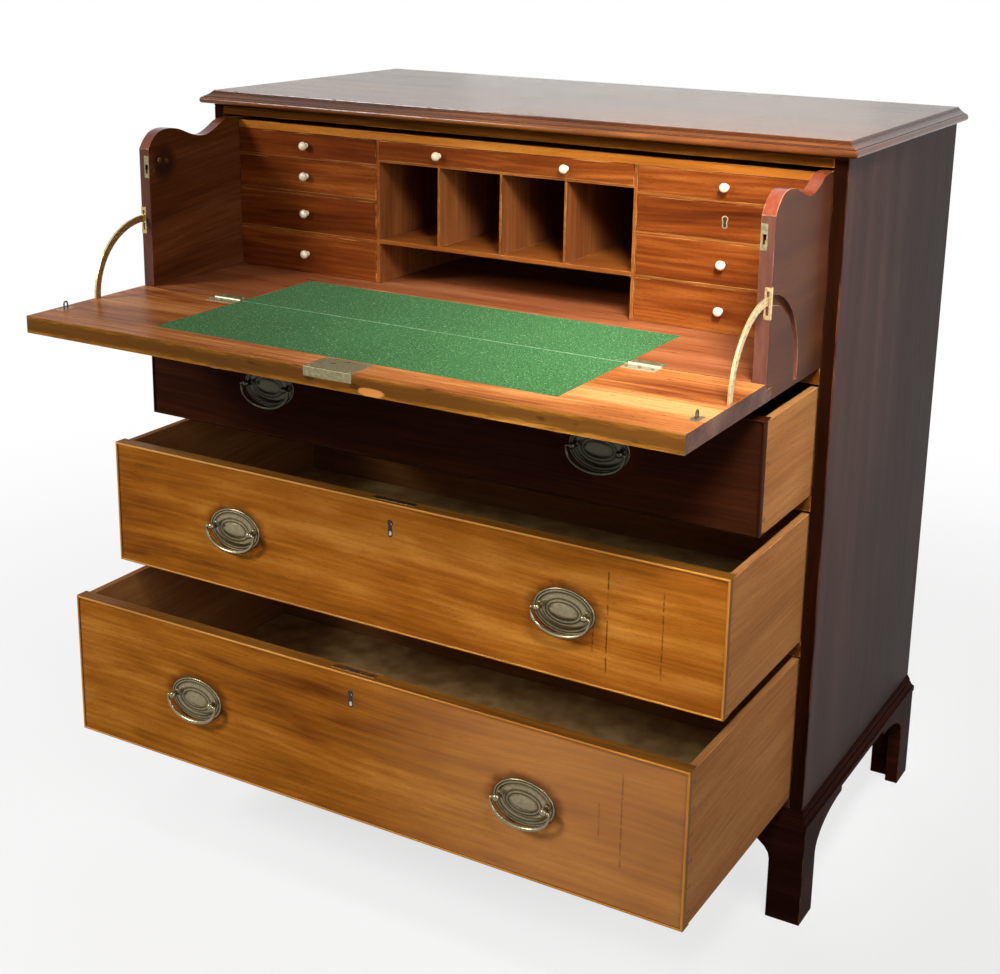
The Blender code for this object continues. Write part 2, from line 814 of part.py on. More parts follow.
def make_nest(body):
    half = wing_inner - seat_gap
    top_z = bed_top + nest_height
    under_z, rail_z = top_z - nest_top_thickness, top_z - nest_rail_height
    low_z = bed_top + seat_gap
    outline = [
        (nest_front, rail_z), (nest_front + nest_rail_depth, rail_z),
        (nest_front + nest_rail_depth, under_z), (nest_rear, under_z), (nest_rear, low_z),
        (bed_rear, low_z), (bed_rear, top_z), (nest_front, top_z),
    ]
    piece("nest_case", prism(outline, "x", -half, half), red_mahogany, body)

    rear = nest_rear - seat_gap
    stack_top = rail_z - seat_gap
    for side, sign in (("left", -1), ("right", 1)):
        inner, face = well_half_width, well_half_width + upright_thickness
        comb = [(inner, low_z), (face, low_z)]
        for row in row_heights:
            shelf_low = bed_top + row - shelf_thickness / 2
            shelf_high = shelf_low + shelf_thickness
            comb += [(face, shelf_low), (half, shelf_low), (half, shelf_high), (face, shelf_high)]
        comb += [(face, stack_top), (inner, stack_top)]
        stack = prism([(sign * x, z) for x, z in comb], "y", nest_front, rear)
        piece("nest_stack_" + side, stack, red_mahogany, body)

    half = well_half_width - seat_gap
    floor_z = bed_top + pigeonhole_floor
    cell_low, top_z = floor_z + pigeonhole_floor_thickness, bed_top + pigeonhole_top
    cell_high = top_z - shelf_thickness
    pitch, leaf = well_half_width / 2, divider_thickness / 2
    outline = [
        (-half, floor_z), (half, floor_z), (half, cell_low), (pitch + leaf, cell_low),
        (pitch + leaf, cell_high), (half, cell_high), (half, top_z), (-half, top_z),
        (-half, cell_high), (-pitch - leaf, cell_high), (-pitch - leaf, cell_low),
        (-half, cell_low),
    ]
    cells = [
        [(x0, cell_low), (x1, cell_low), (x1, cell_high), (x0, cell_high)]
        for x0, x1 in ((-pitch + leaf, -leaf), (leaf, pitch - leaf))
    ]
    piece("pigeonholes", prism(outline, "y", nest_front, rear, cells), red_mahogany, body)


def make_small_drawer(name, low_x, high_x, low_z, high_z, knobs, secretaire):
    """A small drawer with its front, box and knobs, sliding out of the nest."""
    low = vector(low_x + small_clearance, nest_front, low_z + seat_gap)
    high = vector(high_x - small_clearance, nest_front + small_length, high_z - small_clearance)
    middle = vector((low_x + high_x) / 2, nest_front, (low.z + high.z) / 2)
    body = carrier(name + "_body", middle, secretaire)
    drawer = piece(name, block(low, high), red_mahogany, body)
    cut(drawer, block(
        vector(low.x + small_side, nest_front + small_front, low.z + small_bottom),
        vector(high.x - small_side, high.y - small_side, high.z + overrun),
    ))
    for x in knobs:
        profile = [(r * knob_radius, h * knob_reach) for r, h in knob_shares]
        neck = profile[-1][0]
        knob = turned(profile + [(neck, -knob_root), (0, -knob_root)], knob_sides)
        place = Matrix.Translation(vector(x, nest_front, middle.z))
        knob.transform(place @ Matrix.Rotation(math.pi / 2, 4, "X"))
        knob.materials.append(ivory_knob)
        join(drawer, knob)


def make_small_drawers(secretaire):
    rail_z = bed_top + nest_height - nest_rail_height
    bounds = [(bed_top, 0), *((bed_top + row, shelf_thickness / 2) for row in row_heights)]
    bounds.append((rail_z, 0))
    inner = well_half_width + upright_thickness
    for side, sign in (("left", -1), ("right", 1)):
        span = sorted((sign * inner, sign * wing_inner))
        for row in range(4):
            (low, low_half), (high, high_half) = bounds[row], bounds[row + 1]
            number = 4 - row
            bare = side == "right" and number == 2
            knobs = () if bare else ((span[0] + span[1]) / 2,)
            make_small_drawer(
                f"small_drawer_{side}_{number}", *span, low + low_half, high - high_half, knobs,
                secretaire,
            )
    pitch = well_half_width / 2
    make_small_drawer(
        "small_drawer_centre", -well_half_width, well_half_width, bed_top + pigeonhole_top, rail_z,
        (-pitch, pitch), secretaire,
    )


make_top()
make_sides_and_back()
make_rail("rail_lower", middle_floor)
make_rail("rail_middle", upper_floor)
make_rail("rail_upper", secretaire_floor)
make_base()
make_feet()
make_long_drawer("lower_drawer", lower_floor, lower_opening, lower_travel)
make_long_drawer("middle_drawer", middle_floor, middle_opening, middle_travel)
make_long_drawer("upper_drawer", upper_floor, upper_opening, upper_travel)
secretaire_body = carrier("secretaire_body", vector(0, hinge_y, bed_top))
make_bed(secretaire_body)
make_wings(secretaire_body)
make_nest(secretaire_body)
make_small_drawers(secretaire_body)
fall_body = carrier("fall_body", vector(0, hinge_y, bed_top), secretaire_body)
make_fall(fall_body)
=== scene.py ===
# %% [markdown]
# # A secretaire chest, board by board
# The chest is a mahogany carcase with three long drawers. Its top drawer is a writing desk, whose
# front falls open on brass quadrants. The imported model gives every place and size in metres. This
# script dresses it, and each piece here is one that a cabinet maker would have cut.
# %% Load the frame
import math
import random

import bmesh
import bpy
from mathutils import Matrix, Vector, noise


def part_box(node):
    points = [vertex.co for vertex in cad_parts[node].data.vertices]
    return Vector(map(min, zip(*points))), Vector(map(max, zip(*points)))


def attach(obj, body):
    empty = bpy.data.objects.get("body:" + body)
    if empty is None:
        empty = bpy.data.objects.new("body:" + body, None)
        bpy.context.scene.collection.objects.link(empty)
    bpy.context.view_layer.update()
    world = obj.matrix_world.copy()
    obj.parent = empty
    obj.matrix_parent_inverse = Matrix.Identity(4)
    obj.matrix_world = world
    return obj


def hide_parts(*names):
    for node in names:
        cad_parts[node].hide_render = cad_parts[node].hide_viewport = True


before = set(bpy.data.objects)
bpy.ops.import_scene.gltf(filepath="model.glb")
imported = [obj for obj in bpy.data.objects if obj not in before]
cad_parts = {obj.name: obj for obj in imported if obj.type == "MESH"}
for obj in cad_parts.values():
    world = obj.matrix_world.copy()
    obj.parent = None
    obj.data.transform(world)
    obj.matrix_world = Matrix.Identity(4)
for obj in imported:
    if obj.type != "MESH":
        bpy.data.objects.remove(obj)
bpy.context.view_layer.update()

# %% [markdown]
# ## Where the camera stands
# The view was found by matching corners of the chest with their places in the photograph: the
# camera stands to the right and looks down a little. The picture was cut from a larger one, so its
# centre isn't on the lens's axis, and a lens shift puts it back.
# %% Camera
eye = Vector((1.1232, -1.9635, 1.3351))
yaw, pitch, roll = 0.5239, 0.2650, 0.0164
focal_share, shift_down = 1.61520, 0.1220
ahead = Vector((
    -math.sin(yaw) * math.cos(pitch), math.cos(yaw) * math.cos(pitch), -math.sin(pitch)
))
level = Vector((math.cos(yaw), math.sin(yaw), 0))
upward = level.cross(ahead)
right = math.cos(roll) * level + math.sin(roll) * upward
above = math.cos(roll) * upward - math.sin(roll) * level
camera = bpy.data.objects.new("camera", bpy.data.cameras.new("camera"))
turn = Matrix((right, above, -ahead)).transposed().to_4x4()
camera.matrix_world = Matrix.Translation(eye) @ turn
camera.data.sensor_width = 36
camera.data.lens = focal_share * camera.data.sensor_width
camera.data.shift_y = -shift_down
bpy.context.scene.collection.objects.link(camera)
bpy.context.scene.camera = camera
print("Lens", round(camera.data.lens, 1), "mm")

# %% [markdown]
# ## Shader helpers
# A wood or a metal is a small net of nodes. A few short helpers keep each net readable: they add a
# node and fill its sockets, do sums, and read a colour as the eye sees it.
# %% Adding nodes
def put(tree, kind, out=0, **given):
    """Adds a node. Small-letter names are its settings, and capitalised ones its sockets."""
    node = tree.nodes.new(kind)
    for key, value in given.items():
        if key[0].islower():
            setattr(node, key, value)
    for key, value in given.items():
        if key[0].isupper():
            fill(tree, node.inputs[key.replace("_", " ")], value)
    return node.outputs[out]


def fill(tree, socket, value):
    """Links a socket to another node's output, or sets it to a plain value."""
    if isinstance(value, bpy.types.NodeSocket):
        tree.links.new(value, socket)
    else:
        socket.default_value = value


def put_sum(tree, kind, operation, *values, out=0):
    node = tree.nodes.new(kind)
    node.operation = operation
    for socket, value in zip(node.inputs, values):
        fill(tree, socket, value)
    return node.outputs[out]


# %% Sums
def calc(tree, operation, *values):
    return put_sum(tree, "ShaderNodeMath", operation, *values)


def plus(tree, first, second):
    return calc(tree, "ADD", first, second)


def minus(tree, first, second):
    return calc(tree, "SUBTRACT", first, second)


def times(tree, first, second):
    return calc(tree, "MULTIPLY", first, second)


def scaled(tree, value, factor, start):
    """A value times a factor, added to a start."""
    return calc(tree, "MULTIPLY_ADD", value, factor, start)


def sway(tree, cloud, share, start):
    """Adds a share of a noise's swing about its middle, which is 0.5."""
    return scaled(tree, minus(tree, cloud, 0.5), share, start)


def off_line(tree, value, line):
    """How far a value lies from a line, to either side."""
    return calc(tree, "ABSOLUTE", minus(tree, value, line))


def squares(tree, first, second):
    return plus(tree, times(tree, first, first), times(tree, second, second))


# %% Blends, ramps, noise and colours
def blend(tree, share, first, second):
    node = tree.nodes.new("ShaderNodeMix")
    node.data_type = "RGBA"
    for index, value in ((0, share), (6, first), (7, second)):
        fill(tree, node.inputs[index], value)
    return node.outputs[2]


def ramp(tree, factor, *stops):
    """A colour ramp from (place, colour) pairs."""
    node = tree.nodes.new("ShaderNodeValToRGB")
    elements = node.color_ramp.elements
    for element, (place, colour) in zip((elements[0], elements[1]), (stops[0], stops[-1])):
        element.position, element.color = place, colour
    for place, colour in stops[1:-1]:
        elements.new(place).color = colour
    fill(tree, node.inputs[0], factor)
    return node.outputs[0]


def fade(tree, value, low, high, to_low=0.0, to_high=1.0):
    """Maps a value from one range to another, and stops at the ends."""
    node = tree.nodes.new("ShaderNodeMapRange")
    node.interpolation_type = "SMOOTHSTEP"
    for index, given in enumerate((value, low, high, to_low, to_high)):
        fill(tree, node.inputs[index], given)
    return node.outputs[0]


def grain(tree, place, stretch, detail=2.0, out=0):
    """Noise whose cells are stretched, given as cells to the metre along each axis."""
    spread = put(tree, "ShaderNodeMapping", Vector=place, Scale=stretch)
    return put(tree, "ShaderNodeTexNoise", out, Vector=spread, Scale=1.0, Detail=detail)


def tone(red, green, blue):
    """A colour as the eye reads it, 0 to 255, turned into the light that shaders count in."""
    shares = [value / 255 for value in (red, green, blue)]
    return (*[s / 12.92 if s <= 0.04045 else ((s + 0.055) / 1.055) ** 2.4 for s in shares], 1)


# %% Opening and closing a finish
def new_finish(name):
    material = bpy.data.materials.new(name)
    material.use_nodes = True
    material.node_tree.nodes.clear()
    return material, material.node_tree


def close_finish(tree, **sockets):
    shader = put(tree, "ShaderNodeBsdfPrincipled", **sockets)
    tree.links.new(shader, tree.nodes.new("ShaderNodeOutputMaterial").inputs[0])


def axes(tree):
    """The place on the chest, whole and as its X, Y and Z."""
    place = put(tree, "ShaderNodeTexCoord", 3)
    node = tree.nodes.new("ShaderNodeSeparateXYZ")
    fill(tree, node.inputs[0], place)
    return place, node.outputs


def marked(tree, name):
    """A number that the boards carry: "arris" for worn edges, "patina" for darker hollows."""
    return put(tree, "ShaderNodeAttribute", 2, attribute_name=name)


# %% [markdown]
# ## Old mahogany
# Polished mahogany is a stack of scales: broad bands from the sawn log, fine streaks along the
# grain, tiny open pores, and a ripple across the grain that catches the light. Each is a stretched
# noise. They could be painted on a picture, but a net of nodes keeps its scale on any board. It
# reads the attribute "figure", which holds metres along and across the grain of each single board,
# so two boards that meet never share a pattern.
# %% Wood
def wood(
    name, dark, middle, light, worn, gloss=0.4, shine=0.08, coat=0.0, ripple=0.08, contrast=1.0,
    stain_and_painted_light=None,
):
    dark, middle, light, worn = (tone(*colour) for colour in (dark, middle, light, worn))
    material, tree = new_finish(name)
    figure = put(tree, "ShaderNodeAttribute", 1, attribute_name="figure")
    drift = grain(tree, figure, (1.3, 3.5, 3.5), 2.0, 1)
    drift = put_sum(tree, "ShaderNodeVectorMath", "SUBTRACT", drift, (0.5, 0.5, 0.5))
    drift = put(tree, "ShaderNodeVectorMath", operation="SCALE", Vector=drift, Scale=0.06)
    bent = put_sum(tree, "ShaderNodeVectorMath", "ADD", figure, drift)
    bands = grain(tree, bent, (1.3, 22, 22), 3.0)
    streaks = grain(tree, bent, (7, 190, 190), 3.0)
    pores = grain(tree, bent, (110, 1700, 1700), 1.0)
    waves = grain(tree, bent, (10, 38, 38), 2.0)
    clouds = grain(tree, figure, (3.0, 5, 5), 2.0)
    mixed = sway(tree, bands, 0.60 * contrast, 0.5)
    mixed = sway(tree, streaks, 0.42 * contrast, mixed)
    mixed = sway(tree, waves, ripple, mixed)
    mixed = sway(tree, clouds, 0.30, mixed)
    colour = ramp(tree, mixed, (0.28, dark), (0.5, middle), (0.74, light))
    open_pores = fade(tree, pores, 0.60, 0.70)
    colour = blend(tree, times(tree, open_pores, 0.5), colour, dark)
    colour = blend(tree, times(tree, marked(tree, "patina"), 0.85), colour, tone(24, 9, 4))
    patchy = fade(tree, grain(tree, figure, (18, 60, 60)), 0.40, 0.66)
    colour = blend(tree, times(tree, marked(tree, "arris"), patchy), colour, worn)
    if stain_and_painted_light:
        colour = stain_and_painted_light(tree, colour)
    rough = scaled(tree, open_pores, 0.10, scaled(tree, streaks, 0.16, gloss - 0.08))
    height = scaled(tree, streaks, 0.5, times(tree, open_pores, -0.8))
    bump = put(tree, "ShaderNodeBump", Strength=0.25, Distance=0.0003, Height=height)
    close_finish(
        tree, Base_Color=colour, Roughness=rough, Normal=bump, Specular_IOR_Level=shine,
        Coat_Weight=coat, Coat_Roughness=0.12,
    )
    print("Finish:", name)
    return material


# %% [markdown]
# ## Marks of use, painted shade and painted light
# A stain belongs to a place on the chest and not to a board's figure, so each one reads the place,
# and so do the painted shade and light below. They are kept apart from the wood's own net, as
# functions that take its colour and give it back changed. The other way, a wood of its own for each
# mark, would repeat the whole net.
# %% Round stains from years of polishing about the handles
long_handles = [(0.262, 0.2895), (0.262, 0.5105), (0.262, 0.70025)]
plate_half_width, plate_half_height = 0.0435, 0.0305


def handle_halo(tree, colour):
    """Darkens the wood in a ragged oval round each handle of the long drawers."""
    place, (x, _, z) = axes(tree)
    nearest = 9.0
    for centre_x, centre_z in long_handles:
        off_centre = minus(tree, calc(tree, "ABSOLUTE", x), centre_x)
        across = calc(tree, "DIVIDE", off_centre, plate_half_width)
        up = calc(tree, "DIVIDE", minus(tree, z, centre_z), plate_half_height)
        away = calc(tree, "SQRT", squares(tree, across, up))
        nearest = calc(tree, "MINIMUM", away, nearest)
    ragged = scaled(tree, grain(tree, place, (60, 60, 60)), 0.35, nearest)
    return blend(tree, fade(tree, ragged, 1.14, 1.62, 0.72, 0.0), colour, tone(70, 26, 8))


# %% Wear on the fall's front edge
fall_edge_middle_z, fall_edge_half = 0.8104, 0.0112
gold_patch = (0.079, 0.8030, 0.019, 0.0056)


def edge_wear(tree, colour):
    """Dirt darkens the edge above its middle, and hands have rubbed its arrises to gold."""
    place, (x, _, z) = axes(tree)
    off_middle = calc(tree, "DIVIDE", off_line(tree, z, fall_edge_middle_z), fall_edge_half)
    patchy = grain(tree, place, (7, 40, 60), 4.0)
    specks = grain(tree, place, (48, 420, 760), 4.0)
    ragged = sway(tree, specks, 1.3, sway(tree, patchy, 1.2, off_middle))
    colour = blend(tree, fade(tree, ragged, 0.45, 1.25, 0.85, 0.0), colour, tone(86, 52, 20))
    knots = fade(tree, grain(tree, place, (22, 22, 60), 1.0), 0.66, 0.72)
    colour = blend(tree, times(tree, knots, 0.5), colour, tone(34, 18, 8))
    centre_x, centre_z, half_width, half_height = gold_patch
    across = calc(tree, "DIVIDE", minus(tree, x, centre_x), half_width)
    up = calc(tree, "DIVIDE", minus(tree, z, centre_z), half_height)
    patch = sway(tree, specks, 0.9, squares(tree, across, up))
    return blend(tree, fade(tree, patch, 0.7, 1.2, 0.75, 0.0), colour, tone(222, 146, 74))


# %% Marks on the wings and the top, and painted shade on the sides
def spot(tree, colour, u, v, centre, radius, stained, share):
    """A soft round stain on a flat board, by the two axes that run along its face."""
    away = calc(tree, "SQRT", squares(tree, minus(tree, u, centre[0]), minus(tree, v, centre[1])))
    return blend(tree, fade(tree, away, radius * 0.5, radius * 1.3, share, 0.0), colour, stained)


def catch_stains(tree, colour):
    """Grease has darkened each wing's inner face round its button. The outer one is dull brown."""
    _, (x, y, z) = axes(tree)
    stained = spot(tree, colour, y, z, (-0.196, 0.999), 0.026, tone(30, 16, 14), 0.75)
    outward = fade(tree, calc(tree, "ABSOLUTE", x), 0.4690, 0.4790)
    return blend(tree, outward, stained, blend(tree, 0.6, colour, tone(52, 33, 26)))


def painted_shade_to_rear(tree, colour):
    """Painted shade: the sides darken towards the rear and towards the bottom."""
    place, (_, y, z) = axes(tree)
    ragged = scaled(tree, grain(tree, place, (2, 2, 2)), 0.24, y)
    ragged = scaled(tree, z, -0.22, ragged)
    return blend(tree, fade(tree, ragged, -0.04, 0.36, 0.0, 0.9), colour, tone(34, 18, 10))


top_rings = (((0.36, 0.038), 0.028), ((0.231, 0.142), 0.022))


def top_marks(tree, colour):
    """The top is browner towards its front, with two rings left by a hot cup and a vase."""
    place, (x, y, _) = axes(tree)
    ragged = scaled(tree, grain(tree, place, (2, 9, 2)), 0.16, y)
    colour = blend(tree, fade(tree, ragged, 0.03, 0.34, 0.6, 0.0), colour, tone(120, 68, 30))
    for centre, radius in top_rings:
        colour = spot(tree, colour, x, y, centre, radius, tone(88, 58, 40), 0.55)
    return colour


# %% Marks on the writing face
hinge_y = -0.22825


def hinge_seam(tree, colour):
    """Dirt in the joint between bed and fall."""
    place, (_, y, _) = axes(tree)
    seam = fade(tree, off_line(tree, y, hinge_y), 0.0008, 0.0016, 1.0, 0.0)
    broken = fade(tree, grain(tree, place, (40, 40, 40)), 0.3, 0.5, 0.4, 0.85)
    return blend(tree, times(tree, seam, broken), colour, tone(40, 16, 8))


def fall_marks(tree, colour):
    """Small dents and ink flecks on the writing face, and the seam at its hinges."""
    colour = hinge_seam(tree, colour)
    place, _ = axes(tree)
    flecks = fade(tree, grain(tree, place, (70, 190, 90), 1.0), 0.70, 0.745)
    return blend(tree, times(tree, flecks, 0.65), colour, tone(70, 32, 16))


# %% Marks, painted shade and painted light on the long drawers' fronts
front_scratches = [
    (0.322, 0.436, 0.585, 0.75), (0.303, 0.458, 0.520, 0.6), (0.397, 0.446, 0.570, 0.6),
    (0.395, 0.235, 0.372, 0.4), (0.365, 0.262, 0.330, 0.35),
]
scratch_taper = 0.012


def front_marks(tree, colour):
    """Red clouds with painted shade towards the right end, halos round the handles, upright
    scratches, and painted light that makes the lowest front paler towards its right.

    A scratch is given as its X, its lowest and highest Z, and how dark it is."""
    place, (x, _, z) = axes(tree)
    red = fade(tree, grain(tree, place, (2.2, 2.2, 4.5)), 0.36, 0.60, 0.30, 0.0)
    is_lowest = fade(tree, z, 0.410, 0.402)
    # Painted shade: the fronts darken towards their right end.
    red = plus(tree, red, fade(tree, x, 0.30, 0.47, 0.0, 0.22))
    red = times(tree, red, scaled(tree, is_lowest, -0.7, 1.0))
    colour = blend(tree, red, colour, tone(126, 62, 18))
    # Painted light: the lowest front is paler towards its right.
    painted_light_low_front = times(tree, is_lowest, fade(tree, x, -0.05, 0.30, 0.0, 0.38))
    colour = handle_halo(tree, blend(tree, painted_light_low_front, colour, tone(204, 146, 94)))
    wander = scaled(tree, grain(tree, place, (0, 0, 18)), 0.004, -0.002)
    for at_x, low_z, high_z, deep in front_scratches:
        off = off_line(tree, plus(tree, x, wander), at_x)
        line = fade(tree, off, 0.0004, 0.0016, deep, 0.0)
        starts = fade(tree, z, low_z, low_z + scratch_taper)
        within = times(tree, starts, fade(tree, z, high_z, high_z - scratch_taper))
        broken = fade(tree, grain(tree, place, (30, 30, 120)), 0.34, 0.55)
        share = times(tree, times(tree, line, within), broken)
        colour = blend(tree, share, colour, tone(62, 28, 8))
    return colour


# %% [markdown]
# ## The chest's woods
# Sun, smoke and polish have given each part its own colour: the sides went purple-black and the
# fronts faded to honey. The upper front, under the open desk, takes a darker copy of the front wood
# as painted shade.
# Each wood is given as four colours: in its dark streaks, between them, in its light streaks, and
# where an arris is worn.
# %% Woods of the carcase
carcase_wood = wood(
    "dark_mahogany_polished", (38, 22, 18), (60, 38, 34), (84, 60, 54), (112, 76, 54),
    gloss=0.36, shine=0.018, ripple=0.04, contrast=0.9, stain_and_painted_light=painted_shade_to_rear,
)
top_wood = wood(
    "top_mahogany_french_polished", (70, 44, 14), (106, 74, 34), (140, 104, 58), (180, 124, 76),
    gloss=0.22, shine=0.20, coat=0.02, ripple=0.05, contrast=1.7, stain_and_painted_light=top_marks,
)
moulding_wood = wood(
    "moulding_mahogany_red", (62, 26, 6), (106, 55, 17), (148, 88, 37), (200, 134, 76),
    gloss=0.18, shine=0.26,
)
rail_wood = wood(
    "rail_mahogany_brown", (48, 20, 3), (82, 44, 9), (120, 70, 22), (166, 106, 46),
    gloss=0.38, shine=0.012,
)
stile_wood = wood(
    "stile_mahogany_dark", (14, 5, 2), (25, 9, 3), (40, 17, 7), (100, 50, 22),
    gloss=0.36, shine=0.006, ripple=0.05,
)
dust_wood = wood(
    "dust_board_pine", (104, 68, 38), (140, 100, 62), (166, 128, 86), (176, 140, 98),
    gloss=0.7, shine=0.04, ripple=0.0, contrast=0.7,
)
foot_wood = wood(
    "foot_mahogany_dark", (24, 8, 4), (38, 16, 9), (58, 28, 17), (98, 62, 40),
    gloss=0.36, shine=0.004,
)

# %% Woods of the long drawers
front_wood = wood(
    "honey_mahogany_figured", (100, 50, 12), (160, 95, 26), (202, 136, 54), (210, 148, 68),
    gloss=0.38, shine=0.02, ripple=0.32, contrast=0.9, stain_and_painted_light=front_marks,
)
bead_wood = wood(
    "cock_bead_rubbed", (150, 90, 30), (200, 134, 56), (230, 172, 92), (238, 186, 106),
    gloss=0.34, contrast=0.8,
)
# Painted shade: the upper front is a darker copy of the front wood, where the open fall shades it.
front_wood_painted_shade = wood(
    "shaded_front_kept_dark", (28, 11, 5), (44, 19, 8), (64, 31, 14), (96, 54, 28),
    gloss=0.36, shine=0.01, ripple=0.12, stain_and_painted_light=handle_halo,
)
rim_wood = wood(
    "front_rim_brown", (78, 46, 12), (116, 74, 24), (150, 102, 42), (200, 144, 70),
    gloss=0.4, shine=0.04,
)
oak = wood(
    "drawer_oak_aged", (104, 62, 30), (144, 96, 54), (174, 126, 78), (198, 148, 100),
    gloss=0.62, shine=0.02, ripple=0.02, contrast=0.7,
)

# %% Woods of the fall, the bed and the wings
fall_wood = wood(
    "fall_mahogany_faded", (104, 46, 18), (168, 100, 50), (212, 146, 88), (226, 158, 84),
    gloss=0.36, shine=0.04, ripple=0.2, contrast=1.4, stain_and_painted_light=fall_marks,
)
fall_end_wood = wood(
    "fall_end_purple", (48, 28, 22), (78, 52, 42), (110, 80, 66), (190, 130, 80),
    gloss=0.4, shine=0.05,
)
fall_edge_wood = wood(
    "fall_edge_worn", (124, 74, 22), (160, 104, 36), (198, 138, 56), (250, 190, 100),
    gloss=0.4, shine=0.02, ripple=0.1, stain_and_painted_light=edge_wear,
)
bed_wood = wood(
    "bed_mahogany_red", (104, 48, 24), (142, 80, 46), (180, 118, 78), (206, 142, 92),
    gloss=0.3, shine=0.04, ripple=0.1, contrast=0.9, stain_and_painted_light=hinge_seam,
)
wing_wood = wood(
    "wing_mahogany", (60, 27, 11), (92, 49, 23), (120, 72, 39), (134, 88, 58),
    gloss=0.34, shine=0.03, ripple=0.06, stain_and_painted_light=catch_stains,
)
wing_face_wood = wood(
    "wing_front_dull", (62, 34, 26), (90, 56, 44), (118, 80, 66), (156, 104, 76),
    gloss=0.34, shine=0.08, contrast=0.7,
)
wing_top_painted_light_wood = wood(
    "wing_edge_red", (84, 34, 16), (116, 54, 32), (152, 84, 58), (200, 136, 100),
    gloss=0.18, shine=0.35, ripple=0.04, contrast=0.7,
)

# %% Woods of the nest
nest_wood = wood(
    "nest_mahogany_red", (66, 24, 7), (110, 51, 17), (158, 90, 38), (190, 128, 66),
    gloss=0.38, shine=0.02, ripple=0.12, contrast=1.0,
)
inner_wood = wood(
    "pigeonhole_mahogany", (84, 40, 14), (120, 68, 32), (150, 94, 52), (160, 106, 60),
    gloss=0.5, shine=0.048,
)
facing_wood = wood(
    "facing_strip_gold", (116, 62, 16), (158, 92, 28), (192, 126, 52), (226, 168, 98),
    shine=0.048, contrast=0.8,
)
strip_and_painted_light_floor_wood = wood(
    "divider_edge_brown", (92, 44, 14), (128, 70, 26), (160, 98, 44), (212, 150, 84),
    shine=0.048, contrast=0.8,
)

# %% [markdown]
# ## Brass, ivory, felt and paper
# The brass was never polished bright: it is grey-green in its hollows and silvery where hands touch
# it. A noise mixes the two, and the attribute "patina" says where a hollow is. Ivory is a pale,
# slightly warm solid with light under its skin. Felt scatters light from its fibres, so it has
# sheen.
# %% Brass
def brass(name, hollow, middle, bright, gloss=0.34, metal=0.88, mottling=1.0):
    hollow, middle, bright = (tone(*colour) for colour in (hollow, middle, bright))
    material, tree = new_finish(name)
    place, _ = axes(tree)
    mottle = sway(tree, grain(tree, place, (240, 240, 240), 4.0), mottling, 0.5)
    spots = grain(tree, place, (900, 900, 900), 2.0)
    sunk = marked(tree, "patina")
    shade = scaled(tree, mottle, 0.5, times(tree, sunk, -0.40))
    shade = scaled(tree, marked(tree, "arris"), 0.25, plus(tree, shade, 0.16))
    colour = ramp(tree, shade, (0.04, hollow), (0.34, middle), (0.56, bright))
    colour = blend(tree, fade(tree, spots, 0.66, 0.8, 0.0, 0.25 * mottling), colour, hollow)
    rough = scaled(tree, mottle, 0.18, scaled(tree, sunk, 0.2, gloss - 0.09))
    bump = put(tree, "ShaderNodeBump", Strength=0.15, Distance=0.0002, Height=mottle)
    close_finish(tree, Base_Color=colour, Metallic=metal, Roughness=rough, Normal=bump)
    print("Finish:", name)
    return material


old_brass = brass(
    "old_brass_toned", (46, 38, 20), (112, 100, 70), (176, 164, 134), 0.22, 0.8, 0.35
)
# The dark brass is the keyhole threads' own colour, and on the upper drawer's handles it is painted
# shade.
dark_brass_and_painted_shade = brass("old_brass_dark", (22, 20, 12), (50, 46, 32), (84, 78, 58), 0.26, 0.7, 0.35)
lock_brass = brass("lock_brass_green", (58, 54, 32), (116, 108, 76), (156, 148, 112), 0.4, 0.6)
leaf_brass = brass("leaf_brass_pale", (98, 90, 60), (158, 150, 114), (198, 190, 158), 0.42, 0.4)
button_brass = brass("button_brass_dark", (40, 30, 18), (86, 68, 40), (146, 122, 76), 0.36)
stay_brass = brass("stay_brass_rubbed", (104, 82, 40), (176, 150, 96), (226, 206, 156), 0.3, 0.8)


# %% Ivory, darkness behind a keyhole, paper, lint and iron
def plain_finish(name, low, high, cells, gloss, **sockets):
    material, tree = new_finish(name)
    place, _ = axes(tree)
    cloud = grain(tree, place, (cells, cells, cells), 3.0)
    colour = ramp(tree, cloud, (0.32, tone(*low)), (0.68, tone(*high)))
    rough = scaled(tree, cloud, 0.2, gloss - 0.1)
    bump = put(tree, "ShaderNodeBump", Strength=0.2, Distance=0.0002, Height=cloud)
    close_finish(tree, Base_Color=colour, Roughness=rough, Normal=bump, **sockets)
    print("Finish:", name)
    return material


ivory = plain_finish(
    "ivory_turned", (214, 196, 160), (242, 232, 208), 180, 0.3, Subsurface_Weight=0.15,
    Subsurface_Scale=0.004, Coat_Weight=0.3,
)
shadow_black = plain_finish("keyhole_dark", (12, 8, 6), (24, 16, 12), 300, 0.8)
lining_paper = plain_finish("lining_paper_aged", (160, 118, 60), (206, 168, 106), 26, 0.9)
steel_painted_highlight = plain_finish("lock_steel", (150, 146, 140), (214, 210, 204), 300, 0.3, Metallic=0.5)
lint = plain_finish("lint_pale", (150, 186, 140), (206, 222, 190), 500, 0.9)
iron = plain_finish("old_iron", (58, 50, 44), (104, 96, 86), 400, 0.4, Metallic=0.7)


